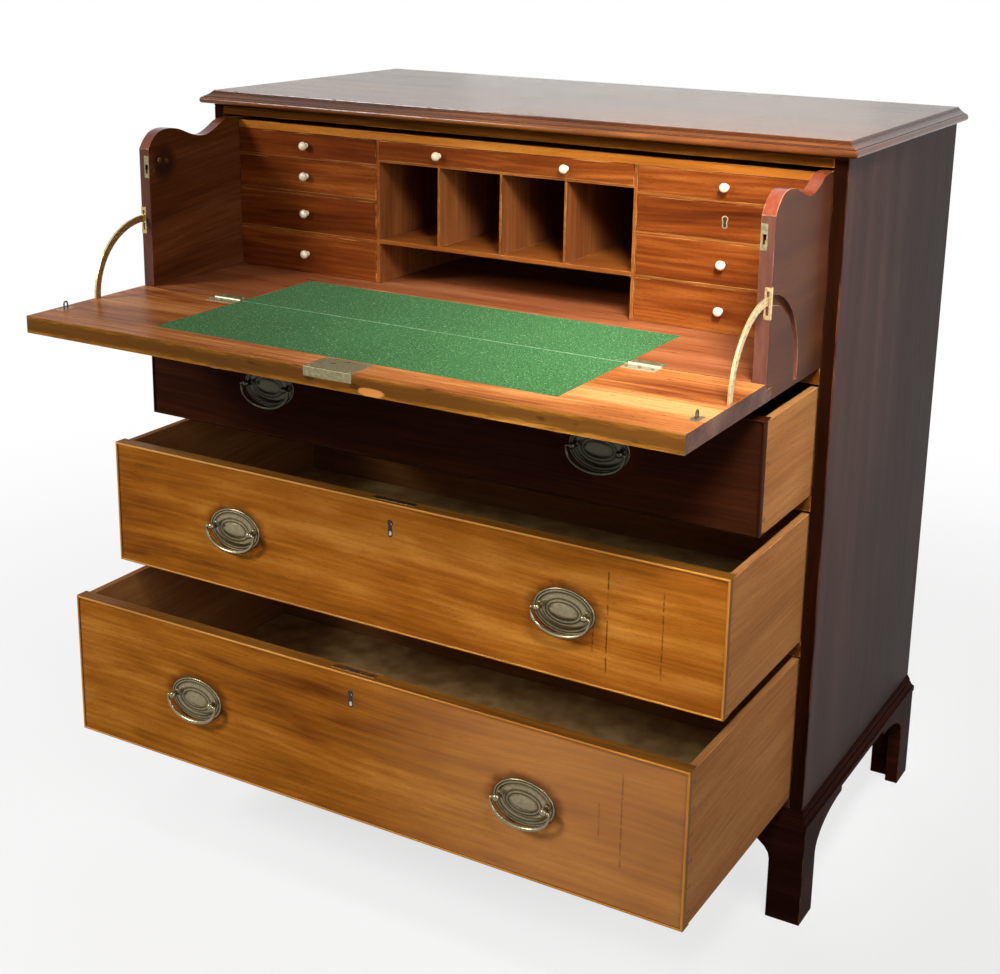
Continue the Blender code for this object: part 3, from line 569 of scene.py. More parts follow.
# %% Felt
def felt():
    """Green wool, mottled, with pale dust in its nap and a frayed line at the hinges."""
    material, tree = new_finish("green_baize_felt")
    place, (_, y, _) = axes(tree)
    cloud = grain(tree, place, (7, 7, 7), 3.0)
    nap = grain(tree, place, (520, 520, 520), 4.0)
    colour = ramp(tree, cloud, (0.3, tone(20, 62, 20)), (0.7, tone(32, 82, 32)))
    colour = blend(tree, fade(tree, nap, 0.42, 0.62, 0.0, 0.8), colour, tone(70, 130, 66))
    dust = fade(tree, grain(tree, place, (380, 380, 380), 1.0), 0.66, 0.73)
    colour = blend(tree, times(tree, dust, 0.6), colour, tone(166, 190, 152))
    frayed = grain(tree, place, (160, 500, 500))
    frayed = scaled(tree, frayed, 0.004, off_line(tree, y, hinge_y))
    pale = fade(tree, frayed, 0.0016, 0.0042, 0.85, 0.0)
    colour = blend(tree, pale, colour, tone(150, 178, 140))
    bump = put(tree, "ShaderNodeBump", Strength=0.6, Distance=0.0006, Height=nap)
    close_finish(
        tree, Base_Color=colour, Roughness=scaled(tree, nap, 0.1, 0.86), Normal=bump,
        Specular_IOR_Level=0.1, Sheen_Weight=0.05, Sheen_Roughness=0.5,
    )
    return material


baize = felt()
print(len(bpy.data.materials), "finishes")

# %% [markdown]
# ## Cutting boards
# Every board is its own closed solid, kept in a bmesh until its piece is put together. One helper
# lays rings of points over each other, which gives planks, mouldings, plates and turned work alike.
# Another eases the arrises and writes the figure of the grain. Separate boards could share one
# mesh from the start, but then a bevel would round them together.
# %% Rings laid over each other
boards_cut = random.Random(17)


def layered(bm):
    """Gives a bmesh the three attributes that the finishes read."""
    bm.loops.layers.float_vector.new("figure")
    bm.faces.layers.float.new("arris")
    bm.verts.layers.float.new("patina")
    return bm


def skin(loops, patina=()):
    """A closed solid through rings of points. patina gives how dark each ring's hollows are."""
    bm = layered(bmesh.new())
    sunk = bm.verts.layers.float["patina"]
    rings = [[bm.verts.new(point) for point in loop] for loop in loops]
    for ring, share in zip(rings, patina):
        for vert in ring:
            vert[sunk] = share
    for low, high in zip(rings, rings[1:]):
        for i in range(len(low)):
            j = (i + 1) % len(low)
            bm.faces.new((low[i], low[j], high[j], high[i]))
    bm.faces.new(rings[0])
    bm.faces.new(rings[-1])
    bmesh.ops.recalc_face_normals(bm, faces=bm.faces[:])
    return bm


def prism(outline, across, start, end):
    """An outline pushed from start to end along an axis."""
    place = {
        "x": lambda u, v, w: (w, u, v),
        "y": lambda u, v, w: (u, w, v),
        "z": lambda u, v, w: (u, v, w),
    }[across]
    return skin([[place(u, v, w) for u, v in outline] for w in (start, end)])


def span(sign, near, far):
    """Two distances from the middle of the chest, as places on its left or its right."""
    return sorted((sign * near, sign * far))


# %% Thin sheets
def blanket(low, high, cells, lift, thickness):
    """A closed thin sheet. lift(i, j) says how far it has risen from low's height."""
    bm = layered(bmesh.new())
    layers = []
    for extra in (0, thickness):
        layers.append([[bm.verts.new((
            low[0] + (high[0] - low[0]) * i / cells[0],
            low[1] + (high[1] - low[1]) * j / cells[1],
            low[2] + lift(i, j) + extra,
        )) for j in range(cells[1] + 1)] for i in range(cells[0] + 1)])
    for i in range(cells[0]):
        for j in range(cells[1]):
            for grid in layers:
                bm.faces.new((grid[i][j], grid[i + 1][j], grid[i + 1][j + 1], grid[i][j + 1]))
    foot_edges, rim_edges = (
        [[row[0] for row in grid], grid[-1], [row[-1] for row in grid][::-1], grid[0][::-1]]
        for grid in layers
    )
    for rim, foot in zip(rim_edges, foot_edges):
        for k in range(len(rim) - 1):
            bm.faces.new((rim[k], rim[k + 1], foot[k + 1], foot[k]))
    bmesh.ops.recalc_face_normals(bm, faces=bm.faces[:])
    return bm


# %% Easing and figuring a board
arris_angle = math.radians(30)
grain_orders = {"x": (0, 1, 2), "y": (1, 0, 2), "z": (2, 0, 1)}


def season(bm, along="x", ease=0.0006, lean=0.0, turned_faces=()):
    """Eases a board's arrises, marks them, and writes metres along and across its grain.

    turned_faces names another grain for the faces that look along an axis, as ("y", "z")."""
    figure = bm.loops.layers.float_vector["figure"]
    worn = bm.faces.layers.float["arris"]
    if ease:
        arrises = [e for e in bm.edges if e.is_manifold and e.calc_face_angle(0) > arris_angle]
        made = bmesh.ops.bevel(
            bm, geom=arrises, offset=ease, segments=2, profile=0.5, affect="EDGES",
            clamp_overlap=True,
        )
        for face in made["faces"]:
            face[worn] = 1
    shift = Vector([boards_cut.uniform(-9, 9) for _ in range(3)])
    tilts = [boards_cut.uniform(-0.012, 0.012) for _ in range(2)]
    spin = Matrix.Rotation(tilts[0], 3, "Z") @ Matrix.Rotation(lean + tilts[1], 3, "Y")
    bm.normal_update()
    for face in bm.faces:
        order = grain_orders[along]
        for looks, other in turned_faces:
            if abs(face.normal["xyz".index(looks)]) > 0.7:
                order = grain_orders[other]
        for corner in face.loops:
            corner[figure] = shift + spin @ Vector([corner.vert.co[i] for i in order])
    return bm


def crisp(bm, along="x"):
    """Writes the figure only, and leaves the arrises sharp, as on metal and thin strips."""
    return season(bm, along, 0)


def plank(low, high, along="x", ease=0.0006):
    outline = [(low[0], low[1]), (high[0], low[1]), (high[0], high[1]), (low[0], high[1])]
    return season(prism(outline, "z", low[2], high[2]), along, ease)


def dressed(node, along="x", ease=0.0006, lean=0.0, turned_faces=()):
    """A welded copy of a CAD solid, with eased arrises and figure."""
    bm = bmesh.new()
    bm.from_mesh(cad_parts[node].data)
    layered(bm)
    bmesh.ops.remove_doubles(bm, verts=bm.verts[:], dist=1e-5)
    bmesh.ops.dissolve_limit(
        bm, angle_limit=math.radians(1), verts=bm.verts[:], edges=bm.edges[:]
    )
    return season(bm, along, ease, lean, turned_faces)


# %% Turned work
def turned(profile, centre, out, steps=32, patina=()):
    """Rings of (radius, height) about an axis that starts at centre."""
    turn = Vector(out).to_track_quat("Z", "Y")
    angles = [2 * math.pi * i / steps for i in range(steps)]
    loops = [
        [
            Vector(centre) + turn @ Vector((radius * math.cos(a), radius * math.sin(a), height))
            for a in angles
        ]
        for radius, height in profile
    ]
    return crisp(skin(loops, patina), "z")


# %% Putting a piece together
def assemble(name, parts, body, stands_for=()):
    """Joins boards into one piece on a body. A finish may be a rule that picks one for a face."""
    whole = layered(bmesh.new())
    finishes = []
    for part, finish in parts:
        for face in part.faces:
            chosen = finish(face) if callable(finish) else finish
            if chosen not in finishes:
                finishes.append(chosen)
            face.material_index, face.smooth = finishes.index(chosen), True
        single = bpy.data.meshes.new("board")
        part.to_mesh(single)
        part.free()
        whole.from_mesh(single)
        bpy.data.meshes.remove(single)
    mesh = bpy.data.meshes.new(name)
    whole.to_mesh(mesh)
    whole.free()
    for finish in finishes:
        mesh.materials.append(finish)
    mesh.set_sharp_from_angle(angle=math.radians(50))
    piece = bpy.data.objects.new(name, mesh)
    bpy.context.scene.collection.objects.link(piece)
    shading = piece.modifiers.new("Even shading", "WEIGHTED_NORMAL")
    shading.mode, shading.keep_sharp = "FACE_AREA", True
    return settle(piece, body, stands_for)


def settle(piece, body, stands_for=()):
    """Turns a piece's modifiers into its mesh, and hangs it on its body."""
    depsgraph = bpy.context.evaluated_depsgraph_get()
    mesh = bpy.data.meshes.new_from_object(piece.evaluated_get(depsgraph))
    piece.modifiers.clear()
    piece.data = mesh
    mesh.name = piece.name
    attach(piece, body)
    if stands_for:
        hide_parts(*stands_for)
    print(f"{piece.name}: {len(mesh.polygons)} faces, on {body}")
    return piece


# %% [markdown]
# ## The top and its moulded edge
# The top is one wide board with its grain across the chest. Its edge is a moulding: a bold rounded
# nose below, then a cove and small fillets up to the flat. The moulding is made as strips that meet
# in mitres at the front corners, as the figure of the wood shows it on the real chest.
# %% A strip of moulding along the front and the two sides
half, front, back = 0.5, -0.03725, 0.45875
inner_half = 0.4817
sharp_turn = 0.0008


def darken_hollows(strip, outline, count):
    """Marks the profile's inward corners, which the finish darkens."""
    sunk = strip.verts.layers.float["patina"]
    strip.verts.ensure_lookup_table()
    for k in range(1, count - 1):
        (u0, v0), (u1, v1), (u2, v2) = outline[k - 1 : k + 2]
        if (u1 - u0) * (v2 - v1) - (v1 - v0) * (u2 - u1) > sharp_turn:
            for ring_start in (0, len(outline)):
                strip.verts[ring_start + k][sunk] = 1


def moulded_frame(profile, low, height, reach_side, reach_front, finish):
    """Three mitred strips. The profile is (height share, reach share) from the bottom up."""
    def corner(sign, rise, reach, y=None):
        at_y = front - reach * reach_front if y is None else y
        return (sign * (half + reach * reach_side), at_y, low + rise * height)

    outline = list(profile) + [(profile[-1][0], -0.8), (profile[0][0], -0.8)]
    strips = [skin([[corner(sign, *point) for point in outline] for sign in (-1, 1)])]
    for sign in (-1, 1):
        ends = [[corner(sign, *point, y) for point in outline] for y in (None, back)]
        strips.append(skin(ends))
    for strip, along in zip(strips, "xyy"):
        darken_hollows(strip, outline, len(profile))
        crisp(strip, along)
    return [(strip, finish) for strip in strips]


def rounded(profile, turns=3):
    """Cuts a profile's soft corners finer, so that its nose and coves are round."""
    points = [profile[0]]
    for i in range(len(profile) - 1):
        before = profile[max(i - 1, 0)]
        start, end = profile[i], profile[i + 1]
        after = profile[min(i + 2, len(profile) - 1)]
        for k in range(1, turns + 1):
            t = k / turns
            points.append(tuple(
                0.5 * (2 * b + (c - a) * t + (2 * a - 5 * b + 4 * c - d) * t**2
                       + (3 * b - a - 3 * c + d) * t**3)
                for a, b, c, d in zip(before, start, end, after)
            ))
    return points


# %% Top
nose = [(0.00, 0.30)]
nose += rounded([(0.00, 0.72), (0.05, 0.90), (0.16, 0.99), (0.30, 1.0), (0.42, 0.94), (0.50, 0.84)])
nose += [(0.51, 0.72), (0.57, 0.72), (0.58, 0.62)]
nose += rounded([(0.62, 0.54), (0.69, 0.40), (0.77, 0.30)])
nose += [(0.78, 0.22), (0.85, 0.22), (0.86, 0.12), (0.93, 0.12), (0.94, 0.04), (1.00, 0.02)]
low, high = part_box("top_board")
slab_low, nose_low = 1.0655, 1.0692
parts = moulded_frame(nose, nose_low, high.z - nose_low, 0.0155, 0.0165, moulding_wood)
slab = plank((-half, front, slab_low), (half, back, nose_low + 0.0004), "x", 0)
parts.append((slab, rail_wood))
edge_x, edge_y = half - 0.0006, front + 0.0006
flat = [(edge_x, edge_y), (-edge_x, edge_y), (-edge_x, back), (edge_x, back)]
parts.append((crisp(prism(flat, "z", nose_low + 0.0005, high.z + 0.0001)), top_wood))
assemble("top_with_moulding", parts, "carcase", ["top_board"])
rail = plank((-inner_half, front, low.z), (inner_half, front + 0.045, slab_low))
assemble("top_rail", [(rail, rail_wood)], "carcase")

# %% [markdown]
# ## Carcase sides, back and rails
# Two upright boards make the sides, faced in front by a dark stile. Between them run the rails that
# part the drawers, each with a thin dust board behind it. The back is of rough vertical boards,
# nailed on.
# %% Sides
sides = (("left", -1), ("right", 1))
stile_depth = 0.004
for side, _ in sides:
    low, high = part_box(side + "_side")
    seam = front + stile_depth
    parts = [
        (plank((low.x, seam, low.z), high, "z", 0.0008), carcase_wood),
        (plank(low, (high.x, seam - 0.0002, high.z), "z", 0.0008), stile_wood),
    ]
    assemble(side + "_side_board", parts, "carcase", [side + "_side"])

# %% Back
low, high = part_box("back_panel")
back_board_count, back_gap = 5, 0.0005
width = (high.x - low.x) / back_board_count
parts = []
for i in range(back_board_count):
    start = low.x + i * width
    board_low = (start + back_gap, low.y, low.z)
    board_high = (start + width - back_gap, high.y, high.z)
    parts.append((plank(board_low, board_high, "z", 0.0012), dust_wood))
assemble("back_boards", parts, "carcase", ["back_panel"])

# %% Rails with their dust boards
rail_depth, runner_width, dust_thickness, joint = 0.052, 0.045, 0.010, 0.0004
for name in ("rail_lower", "rail_middle", "rail_upper"):
    low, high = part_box(name)
    parts = [(plank(low, (high.x, low.y + rail_depth, high.z), "x", 0.0008), rail_wood)]
    behind = low.y + rail_depth + joint
    for sign in (-1, 1):
        inner, outer = span(sign, high.x - runner_width, high.x)
        parts.append((plank((inner, behind, low.z), (outer, high.y, high.z), "y"), dust_wood))
    edge = high.x - runner_width - joint
    dust_board = plank((-edge, behind, high.z - dust_thickness), (edge, high.y, high.z - 0.0006))
    parts.append((dust_board, dust_wood))
    assemble(name + "_boards", parts, "carcase", [name])

# %% Base moulding and bottom
low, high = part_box("base_board")
base_profile = [(0.00, 1.00), (0.06, 1.0), (0.30, 1.00), (0.34, 0.97), (0.34, 0.84)]
base_profile += rounded([(0.38, 0.74), (0.44, 0.60), (0.50, 0.51), (0.56, 0.46)])
base_profile += [(0.62, 0.44), (0.62, 0.34)]
base_profile += rounded([(0.68, 0.345), (0.74, 0.32), (0.80, 0.28), (0.84, 0.24)])
base_profile += [(0.88, 0.12), (1.00, 0.10)]
base_top, bottom_rail_depth = 0.1700, 0.05
floor_low = base_top - 0.001
parts = moulded_frame(base_profile, low.z, base_top - low.z, 0.012, 0.012, foot_wood)
rail_end = front + bottom_rail_depth
for start, end, board_wood in (
    ((-inner_half, front, floor_low), (inner_half, rail_end, high.z), carcase_wood),
    ((-inner_half, front + 0.0504, floor_low), (inner_half, 0.4464, high.z), dust_wood),
    ((-0.495, front + 0.006, low.z), (0.495, back, base_top - 0.0012), dust_wood),
):
    parts.append((plank(start, end), board_wood))
assemble("base_with_moulding", parts, "carcase", ["base_board"])

# %% Feet
for name in ("foot_front_left", "foot_front_right", "foot_rear_left", "foot_rear_right"):
    parts = [(dressed(name, "x", 0.0008), foot_wood)]
    assemble(name + "_bracket", parts, "carcase", [name])

# %% [markdown]
# ## Long drawers
# Each front is a board of figured mahogany, edged with a thin bead that stands proud and is
# mitred at the corners. The sides are oak and meet the front in dovetails: wide tails on the side,
# and narrow dark pins between them, so the joint is cut here as it is in the wood.
# %% A dovetailed side
front_thickness = 0.0203
tail_length, pin_tip_half, pin_root_half = 0.0065, 0.0009, 0.0034


def dovetailed_side(sign, face, low_z, rim, rear, pin_count):
    """An oak side with tails, and the mahogany pins that fill the gaps between them."""
    root, tip = face + front_thickness, face + tail_length
    pitch = (rim - low_z) / pin_count
    outline, pins = [(rear, low_z), (rear, rim), (tip, rim)], []
    for i in range(pin_count):
        centre = rim - (i + 0.5) * pitch
        wedge = [
            (tip, centre + pin_tip_half), (root, centre + pin_root_half),
            (root, centre - pin_root_half), (tip, centre - pin_tip_half),
        ]
        outline += wedge
        pins.append(crisp(prism(wedge, "x", *span(sign, 0.4765, 0.4794))))
    outline.append((tip, low_z))
    board = season(prism(outline, "x", *span(sign, 0.4695, 0.4795)), "y", 0.0003)
    return board, pins


# %% Beads: round-edged strips with mitred ends
bead, bead_proud, bead_round = 0.0032, 0.002, 0.0014


def bead_section(near, far):
    """A bead's section as (depth, distance in from its edge), rounded where it stands proud."""
    points = [(far, bead), (far, 0.0), (near + bead_round, 0.0)]
    for i in range(1, 6):
        angle = math.pi / 2 * i / 5
        points.append((
            near + bead_round - bead_round * math.sin(angle),
            bead_round - bead_round * math.cos(angle),
        ))
    return points + [(near, bead - 0.0008), (near + 0.0006, bead)]


def bead_strip(half_x, z_edge, inward, face):
    """A horizontal bead. Its section runs in from the front's edge, and its ends are mitred."""
    near = face - bead_proud
    section = bead_section(near, near + 0.0200)
    return crisp(skin([
        [(sign * (half_x - inset), y, z_edge + inward * inset) for y, inset in section]
        for sign in (-1, 1)
    ]))


def bead_upright(sign, half_x, low_z, high_z, face):
    section = bead_section(face - bead_proud, face + 0.0063)
    return crisp(skin([
        [(sign * (half_x - inset), y, end_z + inward * inset) for y, inset in section]
        for end_z, inward in ((low_z, 1), (high_z, -1))
    ]), "z")


def bead_finish(face):
    """Hands and dusters rub a bead gold only where it stands proud."""
    return bead_wood if face.normal.y < -0.2 else rim_wood


# %% Drawer boxes and fronts
case_half, case_back, case_floor = 0.4694, 0.009, 0.006
seat_gap, floor_rise = 0.0003, 0.014


def floor_of(box_low):
    """The height of the floor inside a drawer."""
    return box_low.z - seat_gap + floor_rise


def long_drawer(name, pin_count, board_wood, edge_finish):
    low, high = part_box(name + "_front")
    box_low, box_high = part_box(name + "_box")
    face, rear = low.y + bead_proud, box_high.y
    core_x = high.x - bead
    core_high = (core_x, face + front_thickness, high.z - bead)
    core = plank((-core_x, face, low.z + bead), core_high, "x", 0.0003)
    parts = [(core, board_wood)]
    for z_edge, inward in ((low.z, 1), (high.z, -1)):
        parts.append((bead_strip(high.x, z_edge, inward, face), edge_finish))
    for sign in (-1, 1):
        parts.append((bead_upright(sign, high.x, low.z, high.z, face), edge_finish))
    assemble(name + "_front_board", parts, name, [name + "_front"])

    parts = []
    for sign in (-1, 1):
        board, pins = dovetailed_side(sign, face, box_low.z, box_high.z, rear, pin_count)
        parts.append((board, oak))
        parts += [(pin, rim_wood) for pin in pins]
    top_of_floor = floor_of(box_low)
    under_floor = top_of_floor - case_floor
    behind_front = face + 0.0205
    back_low = (-case_half, rear - case_back, under_floor)
    parts.append((plank(back_low, (case_half, rear, box_high.z - 0.006)), oak))
    floor_low = (-case_half, behind_front, under_floor)
    floor_high = (case_half, rear - 0.0092, top_of_floor)
    parts.append((plank(floor_low, floor_high, "x", 0.0004), oak))
    for sign in (-1, 1):
        inner, outer = span(sign, 0.4515, 0.4693)
        runner = plank((inner, behind_front, box_low.z), (outer, rear, top_of_floor - 0.0062), "y")
        parts.append((runner, oak))
    assemble(name + "_case", parts, name, [name + "_box"])
    return face


# %% Make the three drawers
faces = {
    "lower_drawer": long_drawer("lower_drawer", 6, front_wood, bead_finish),
    "middle_drawer": long_drawer("middle_drawer", 5, front_wood, bead_finish),
    "upper_drawer": long_drawer("upper_drawer", 4, front_wood_painted_shade, front_wood_painted_shade),
}

# %% Lining papers
def cockled_paper(name, low, high, body):
    """A thin sheet of old paper, laid loose, that has lifted a little here and there."""
    def risen(i, j):
        cloud = noise.noise(Vector((i * 0.21, j * 0.23, low[2] * 9)))
        return 0.0004 + 0.0016 * max(0.0, cloud)

    sheet = crisp(blanket(low, high, (60, 30), risen, 0.0003))
    assemble(name, [(sheet, lining_paper)], body)


paper_half = 0.467
for name, face in faces.items():
    box_low, box_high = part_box(name + "_box")
    paper_z = floor_of(box_low)
    paper_low = (-paper_half, face + 0.0225, paper_z)
    paper_high = (paper_half, box_high.y - 0.0115, paper_z)
    cockled_paper(name + "_lining_paper", paper_low, paper_high, name)

# %% [markdown]
# ## Drop handles
# A handle is a stamped oval plate, two cast posts and a bail that swings between their heads. The
# plate is rings of points from its rim to its boss, with a row of beads as a wave in a ring's
# height. The bail is a path that swells towards its middle, and Geometry Nodes sweeps a round
# section along it.
# %% The stamped plate
# Each ring is given as its shares of the plate's width and height, its rise in mm, and its patina.
plate_rings = (
    (1.000, 1.000, 0.00, 0.2), (1.000, 1.000, 1.00, 0.2), (0.990, 0.988, 1.60, 0.0),
    (0.972, 0.966, 1.95, 0.0), (0.952, 0.942, 1.75, 0.1), (0.938, 0.924, 1.30, 0.9),
    (0.922, 0.905, 1.30, 0.9), (0.905, 0.884, 1.75, 0.1), (0.885, 0.858, 1.95, 0.0),
    (0.862, 0.830, 1.75, 0.1), (0.842, 0.805, 1.30, 0.9), (0.815, 0.775, 1.35, 0.4),
    (0.770, 0.725, 1.75, 0.1), (0.720, 0.672, 2.15, 0.0), (0.665, 0.612, 2.50, 0.0),
    (0.620, 0.560, 2.60, 0.2), (0.595, 0.530, 2.35, 0.9), (0.575, 0.505, 2.45, 0.6),
    (0.552, 0.470, 3.05, 0.0), (0.530, 0.435, 3.20, 0.0), (0.508, 0.402, 2.95, 0.5),
    (0.490, 0.378, 2.65, 0.9), (0.460, 0.345, 3.10, 0.2), (0.400, 0.290, 3.85, 0.0),
    (0.330, 0.225, 4.45, 0.0), (0.240, 0.150, 4.90, 0.0), (0.150, 0.085, 5.15, 0.0),
    (0.040, 0.020, 5.25, 0.0),
)
boss_beads, bead_height, plate_steps = 44, 0.22, 176


def standing(centre, out, up):
    """A matrix that stands a fitting on its wood: X across, Y up, Z out."""
    centre, out, up = Vector(centre), Vector(out), Vector(up)
    across = up.cross(out)
    return Matrix((
        (across.x, up.x, out.x, centre.x), (across.y, up.y, out.y, centre.y),
        (across.z, up.z, out.z, centre.z), (0, 0, 0, 1),
    ))


def stamped_plate(place):
    loops = []
    for share_x, share_y, height, _ in plate_rings:
        loop = []
        for i in range(plate_steps):
            angle = 2 * math.pi * i / plate_steps
            on_beads = 0.50 < share_x < 0.56
            wave = bead_height * math.cos(boss_beads * angle) if on_beads else 0
            loop.append(place @ Vector((
                plate_half_width * share_x * math.cos(angle),
                plate_half_height * share_y * math.sin(angle), (height + wave) / 1000,
            )))
        loops.append(loop)
    return crisp(skin(loops, [ring[-1] for ring in plate_rings]))


# %% Posts on the plate
# Each ring of a post is given as its radius and height in metres, and its patina.
post_rings = [
    (0.0046, 0.0010, 0.6), (0.0052, 0.0018, 0.3), (0.0050, 0.0030, 0.1), (0.0036, 0.0036, 0.8),
    (0.0029, 0.0048, 0.6), (0.0026, 0.0066, 0.8), (0.0030, 0.0078, 0.6), (0.0042, 0.0092, 0.2),
    (0.0048, 0.0110, 0), (0.0050, 0.0125, 0), (0.0047, 0.0140, 0), (0.0038, 0.0152, 0),
    (0.0024, 0.0160, 0.1), (0.0012, 0.0164, 0), (0.0004, 0.0165, 0),
]
post_x, pivot_rise, pivot_reach = 0.0335, 0.002, 0.0125


def handle_plate(name, place, body, metal):
    parts = [(stamped_plate(place), metal)]
    out = place.to_3x3() @ Vector((0, 0, 1))
    profile, patina = [ring[:2] for ring in post_rings], [ring[2] for ring in post_rings]
    for sign in (-1, 1):
        foot = place @ Vector((sign * post_x, pivot_rise, 0))
        parts.append((turned(profile, foot, out, 28, patina), metal))
    assemble(name + "_back_plate", parts, body, [name + "_plate"])


# %% A tree that sweeps a round section along a path
def start_tree(name, **sockets):
    """A Geometry Nodes tree with named inputs. Its name and kind are given for each."""
    tree = bpy.data.node_groups.new(name, "GeometryNodeTree")
    for way in ("INPUT", "OUTPUT"):
        tree.interface.new_socket("Geometry", in_out=way, socket_type="NodeSocketGeometry")
    for label, kind in sockets.items():
        tree.interface.new_socket(label, in_out="INPUT", socket_type="NodeSocket" + kind)
    given = tree.nodes.new("NodeGroupInput")
    return tree, {socket.name: socket for socket in given.outputs if socket.name}


def end_tree(tree, geometry, finish):
    real = put(tree, "GeometryNodeRealizeInstances", Geometry=geometry)
    smooth = put(tree, "GeometryNodeSetShadeSmooth", Geometry=real)
    done = put(tree, "GeometryNodeSetMaterial", Geometry=smooth, Material=finish)
    tree.links.new(done, tree.nodes.new("NodeGroupOutput").inputs[0])


def named(tree, kind, name):
    """Reads an attribute of the points."""
    return put(tree, "GeometryNodeInputNamedAttribute", data_type=kind, Name=name)


def grow(name, mesh, tree, body, stands_for=(), slot=None, **values):
    """Runs a tree on a mesh of points, and keeps the result as a plain mesh."""
    piece = bpy.data.objects.new(name, mesh)
    bpy.context.scene.collection.objects.link(piece)
    modifier = piece.modifiers.new(tree.name, "NODES")
    modifier.node_group = tree
    for item in tree.interface.items_tree:
        if item.in_out == "INPUT" and item.name in values:
            modifier[item.identifier] = values[item.name]
    return settle(piece, body, stands_for)


sweep, given = start_tree("Swept bar", Sides="Int", Finish="Material")
line = put(sweep, "GeometryNodeMeshToCurve", Mesh=given["Geometry"])
section = put(
    sweep, "GeometryNodeCurvePrimitiveCircle", Resolution=given["Sides"], Radius=1.0
)
bar = put(
    sweep, "GeometryNodeCurveToMesh", Curve=line, Profile_Curve=section,
    Scale=named(sweep, "FLOAT", "thick"), Fill_Caps=True,
)
end_tree(sweep, bar, given["Finish"])
print("Tree:", sweep.name, "with", len(sweep.nodes), "nodes")


# %% The bail's path
def path_mesh(name, points, radii):
    mesh = bpy.data.meshes.new(name)
    mesh.from_pydata(points, [(i, i + 1) for i in range(len(points) - 1)], [])
    mesh.attributes.new("thick", "FLOAT", "POINT").data.foreach_set("value", radii)
    return mesh


# Each point of a knee is given as its place across, its place up, and the bar's radius there.
bail_knee = [
    (0.0315, 0, 0.0012), (0.0375, 0, 0.0012), (0.0390, 0, 0.0022), (0.0402, -0.0006, 0.0026),
    (0.0412, -0.0016, 0.0023), (0.0417, -0.0030, 0.0015),
]
bail_half_width, bail_drop, bail_steps = 0.0421, 0.031, 34
bail_thin, bail_swell = 0.0019, 0.0012


def bail_path(place, hang):
    """From pin to pin through a small ball at each knee, swelling to the middle."""
    curve = []
    for i in range(3, bail_steps - 2):
        angle = math.pi * i / bail_steps
        curve.append((
            bail_half_width * math.cos(angle), -bail_drop * math.sin(angle) ** 0.86,
            bail_thin + bail_swell * math.sin(angle) ** 2,
        ))
    route = bail_knee + curve + [(-x, y, r) for x, y, r in reversed(bail_knee)]
    pivot = place @ Vector((0, pivot_rise, pivot_reach))
    turn = place.to_3x3()
    points = [pivot + turn @ Vector((x, 0, 0)) + hang * -y for x, y, _ in route]
    return points, [r for _, _, r in route]


def drop_handle(name, centre, out, up, body, metal=old_brass):
    place = standing(centre, out, up)
    handle_plate(name, place, body, metal)
    bail = name + "_bail"
    mesh = path_mesh(bail + "_bar", *bail_path(place, Vector((0, 0, -1))))
    grow(bail + "_bar", mesh, sweep, bail, [bail], "old_brass", Sides=14, Finish=metal)


towards_front, upwards = (0, -1, 0), (0, 0, 1)
for drawer, (x, z) in zip(faces, long_handles):
    # The upper drawer's handles take the dark brass as painted shade, under the open fall.
    metal = dark_brass_and_painted_shade if drawer == "upper_drawer" else old_brass
    for side, sign in sides:
        centre = (sign * x, faces[drawer], z)
        drop_handle(f"{drawer}_{side}", centre, towards_front, upwards, drawer, metal)

# %% [markdown]
# ## Keyholes
# Each lock is worked through a keyhole lined with a thread of brass: a round top for the key's stem
# and a flared slot below for its bit. The outline is one closed curve, and its smaller copies make
# the thread and the dark hole, which is painted shadow. Pale steel spots on it are painted
# highlights of the lock inside.
# %% A keyhole from one outline
def keyhole_outline(height, width, inset=0.0):
    radius = width / 2 - inset
    top = height / 2 - width / 2
    foot = width * 0.44 - inset
    low_z = -height / 2 + width * 0.42
    waist = (0.34 * width - inset * 0.8, top - 0.56 * width)
    head_angles = [math.radians(a) for a in range(-38, 219, 16)]
    foot_angles = [math.radians(a) for a in range(0, 181, 18)]
    points = [(radius * math.cos(a), top + radius * math.sin(a)) for a in head_angles]
    points += [(-waist[0], waist[1])]
    points += [(-foot * math.cos(a), low_z - foot * math.sin(a)) for a in foot_angles]
    return points + [waist]


# Each glint is a painted highlight, given as its middle, across and up, and its half width and half
# height, all as shares of the keyhole's width and height.
lock_glints = ((0.03, -0.29, 0.27, 0.14), (0.2, 0.25, 0.09, 0.05))


def keyhole(
    name, centre, out, up, body, height=0.024, width=0.0086, thread_width=0.0006,
    glints=lock_glints, metal=dark_brass_and_painted_shade,
):
    place = standing(centre, out, up)

    def ring(inset, rise):
        return [place @ Vector((u, v, rise)) for u, v in keyhole_outline(height, width, inset)]

    thread = crisp(skin([
        ring(0, -0.0006), ring(0, 0.0003), ring(0.0002, 0.0005), ring(thread_width, 0.0005),
        ring(thread_width + 0.0002, 0.0002),
    ]))
    dark = crisp(skin([ring(thread_width + 0.0001, rise) for rise in (-0.0005, 0.0003)]))
    parts = [(thread, metal), (dark, shadow_black)]
    for across, along, wide, tall in glints:
        glint = [[place @ Vector((
            width * (across + share * wide * math.cos(math.radians(a))),
            height * (along + share * tall * math.sin(math.radians(a))), rise,
        )) for a in range(0, 360, 24)] for share, rise in ((1, 0.0001), (1, 0.0004), (0.6, 0.0006))]
        parts.append((crisp(skin(glint)), steel_painted_highlight))
    assemble(name, parts, body)


keyhole_drop = 0.0355
for drawer, face in faces.items():
    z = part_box(drawer + "_front")[1].z - keyhole_drop
    keyhole(drawer + "_keyhole", (0, face, z), towards_front, upwards, drawer)

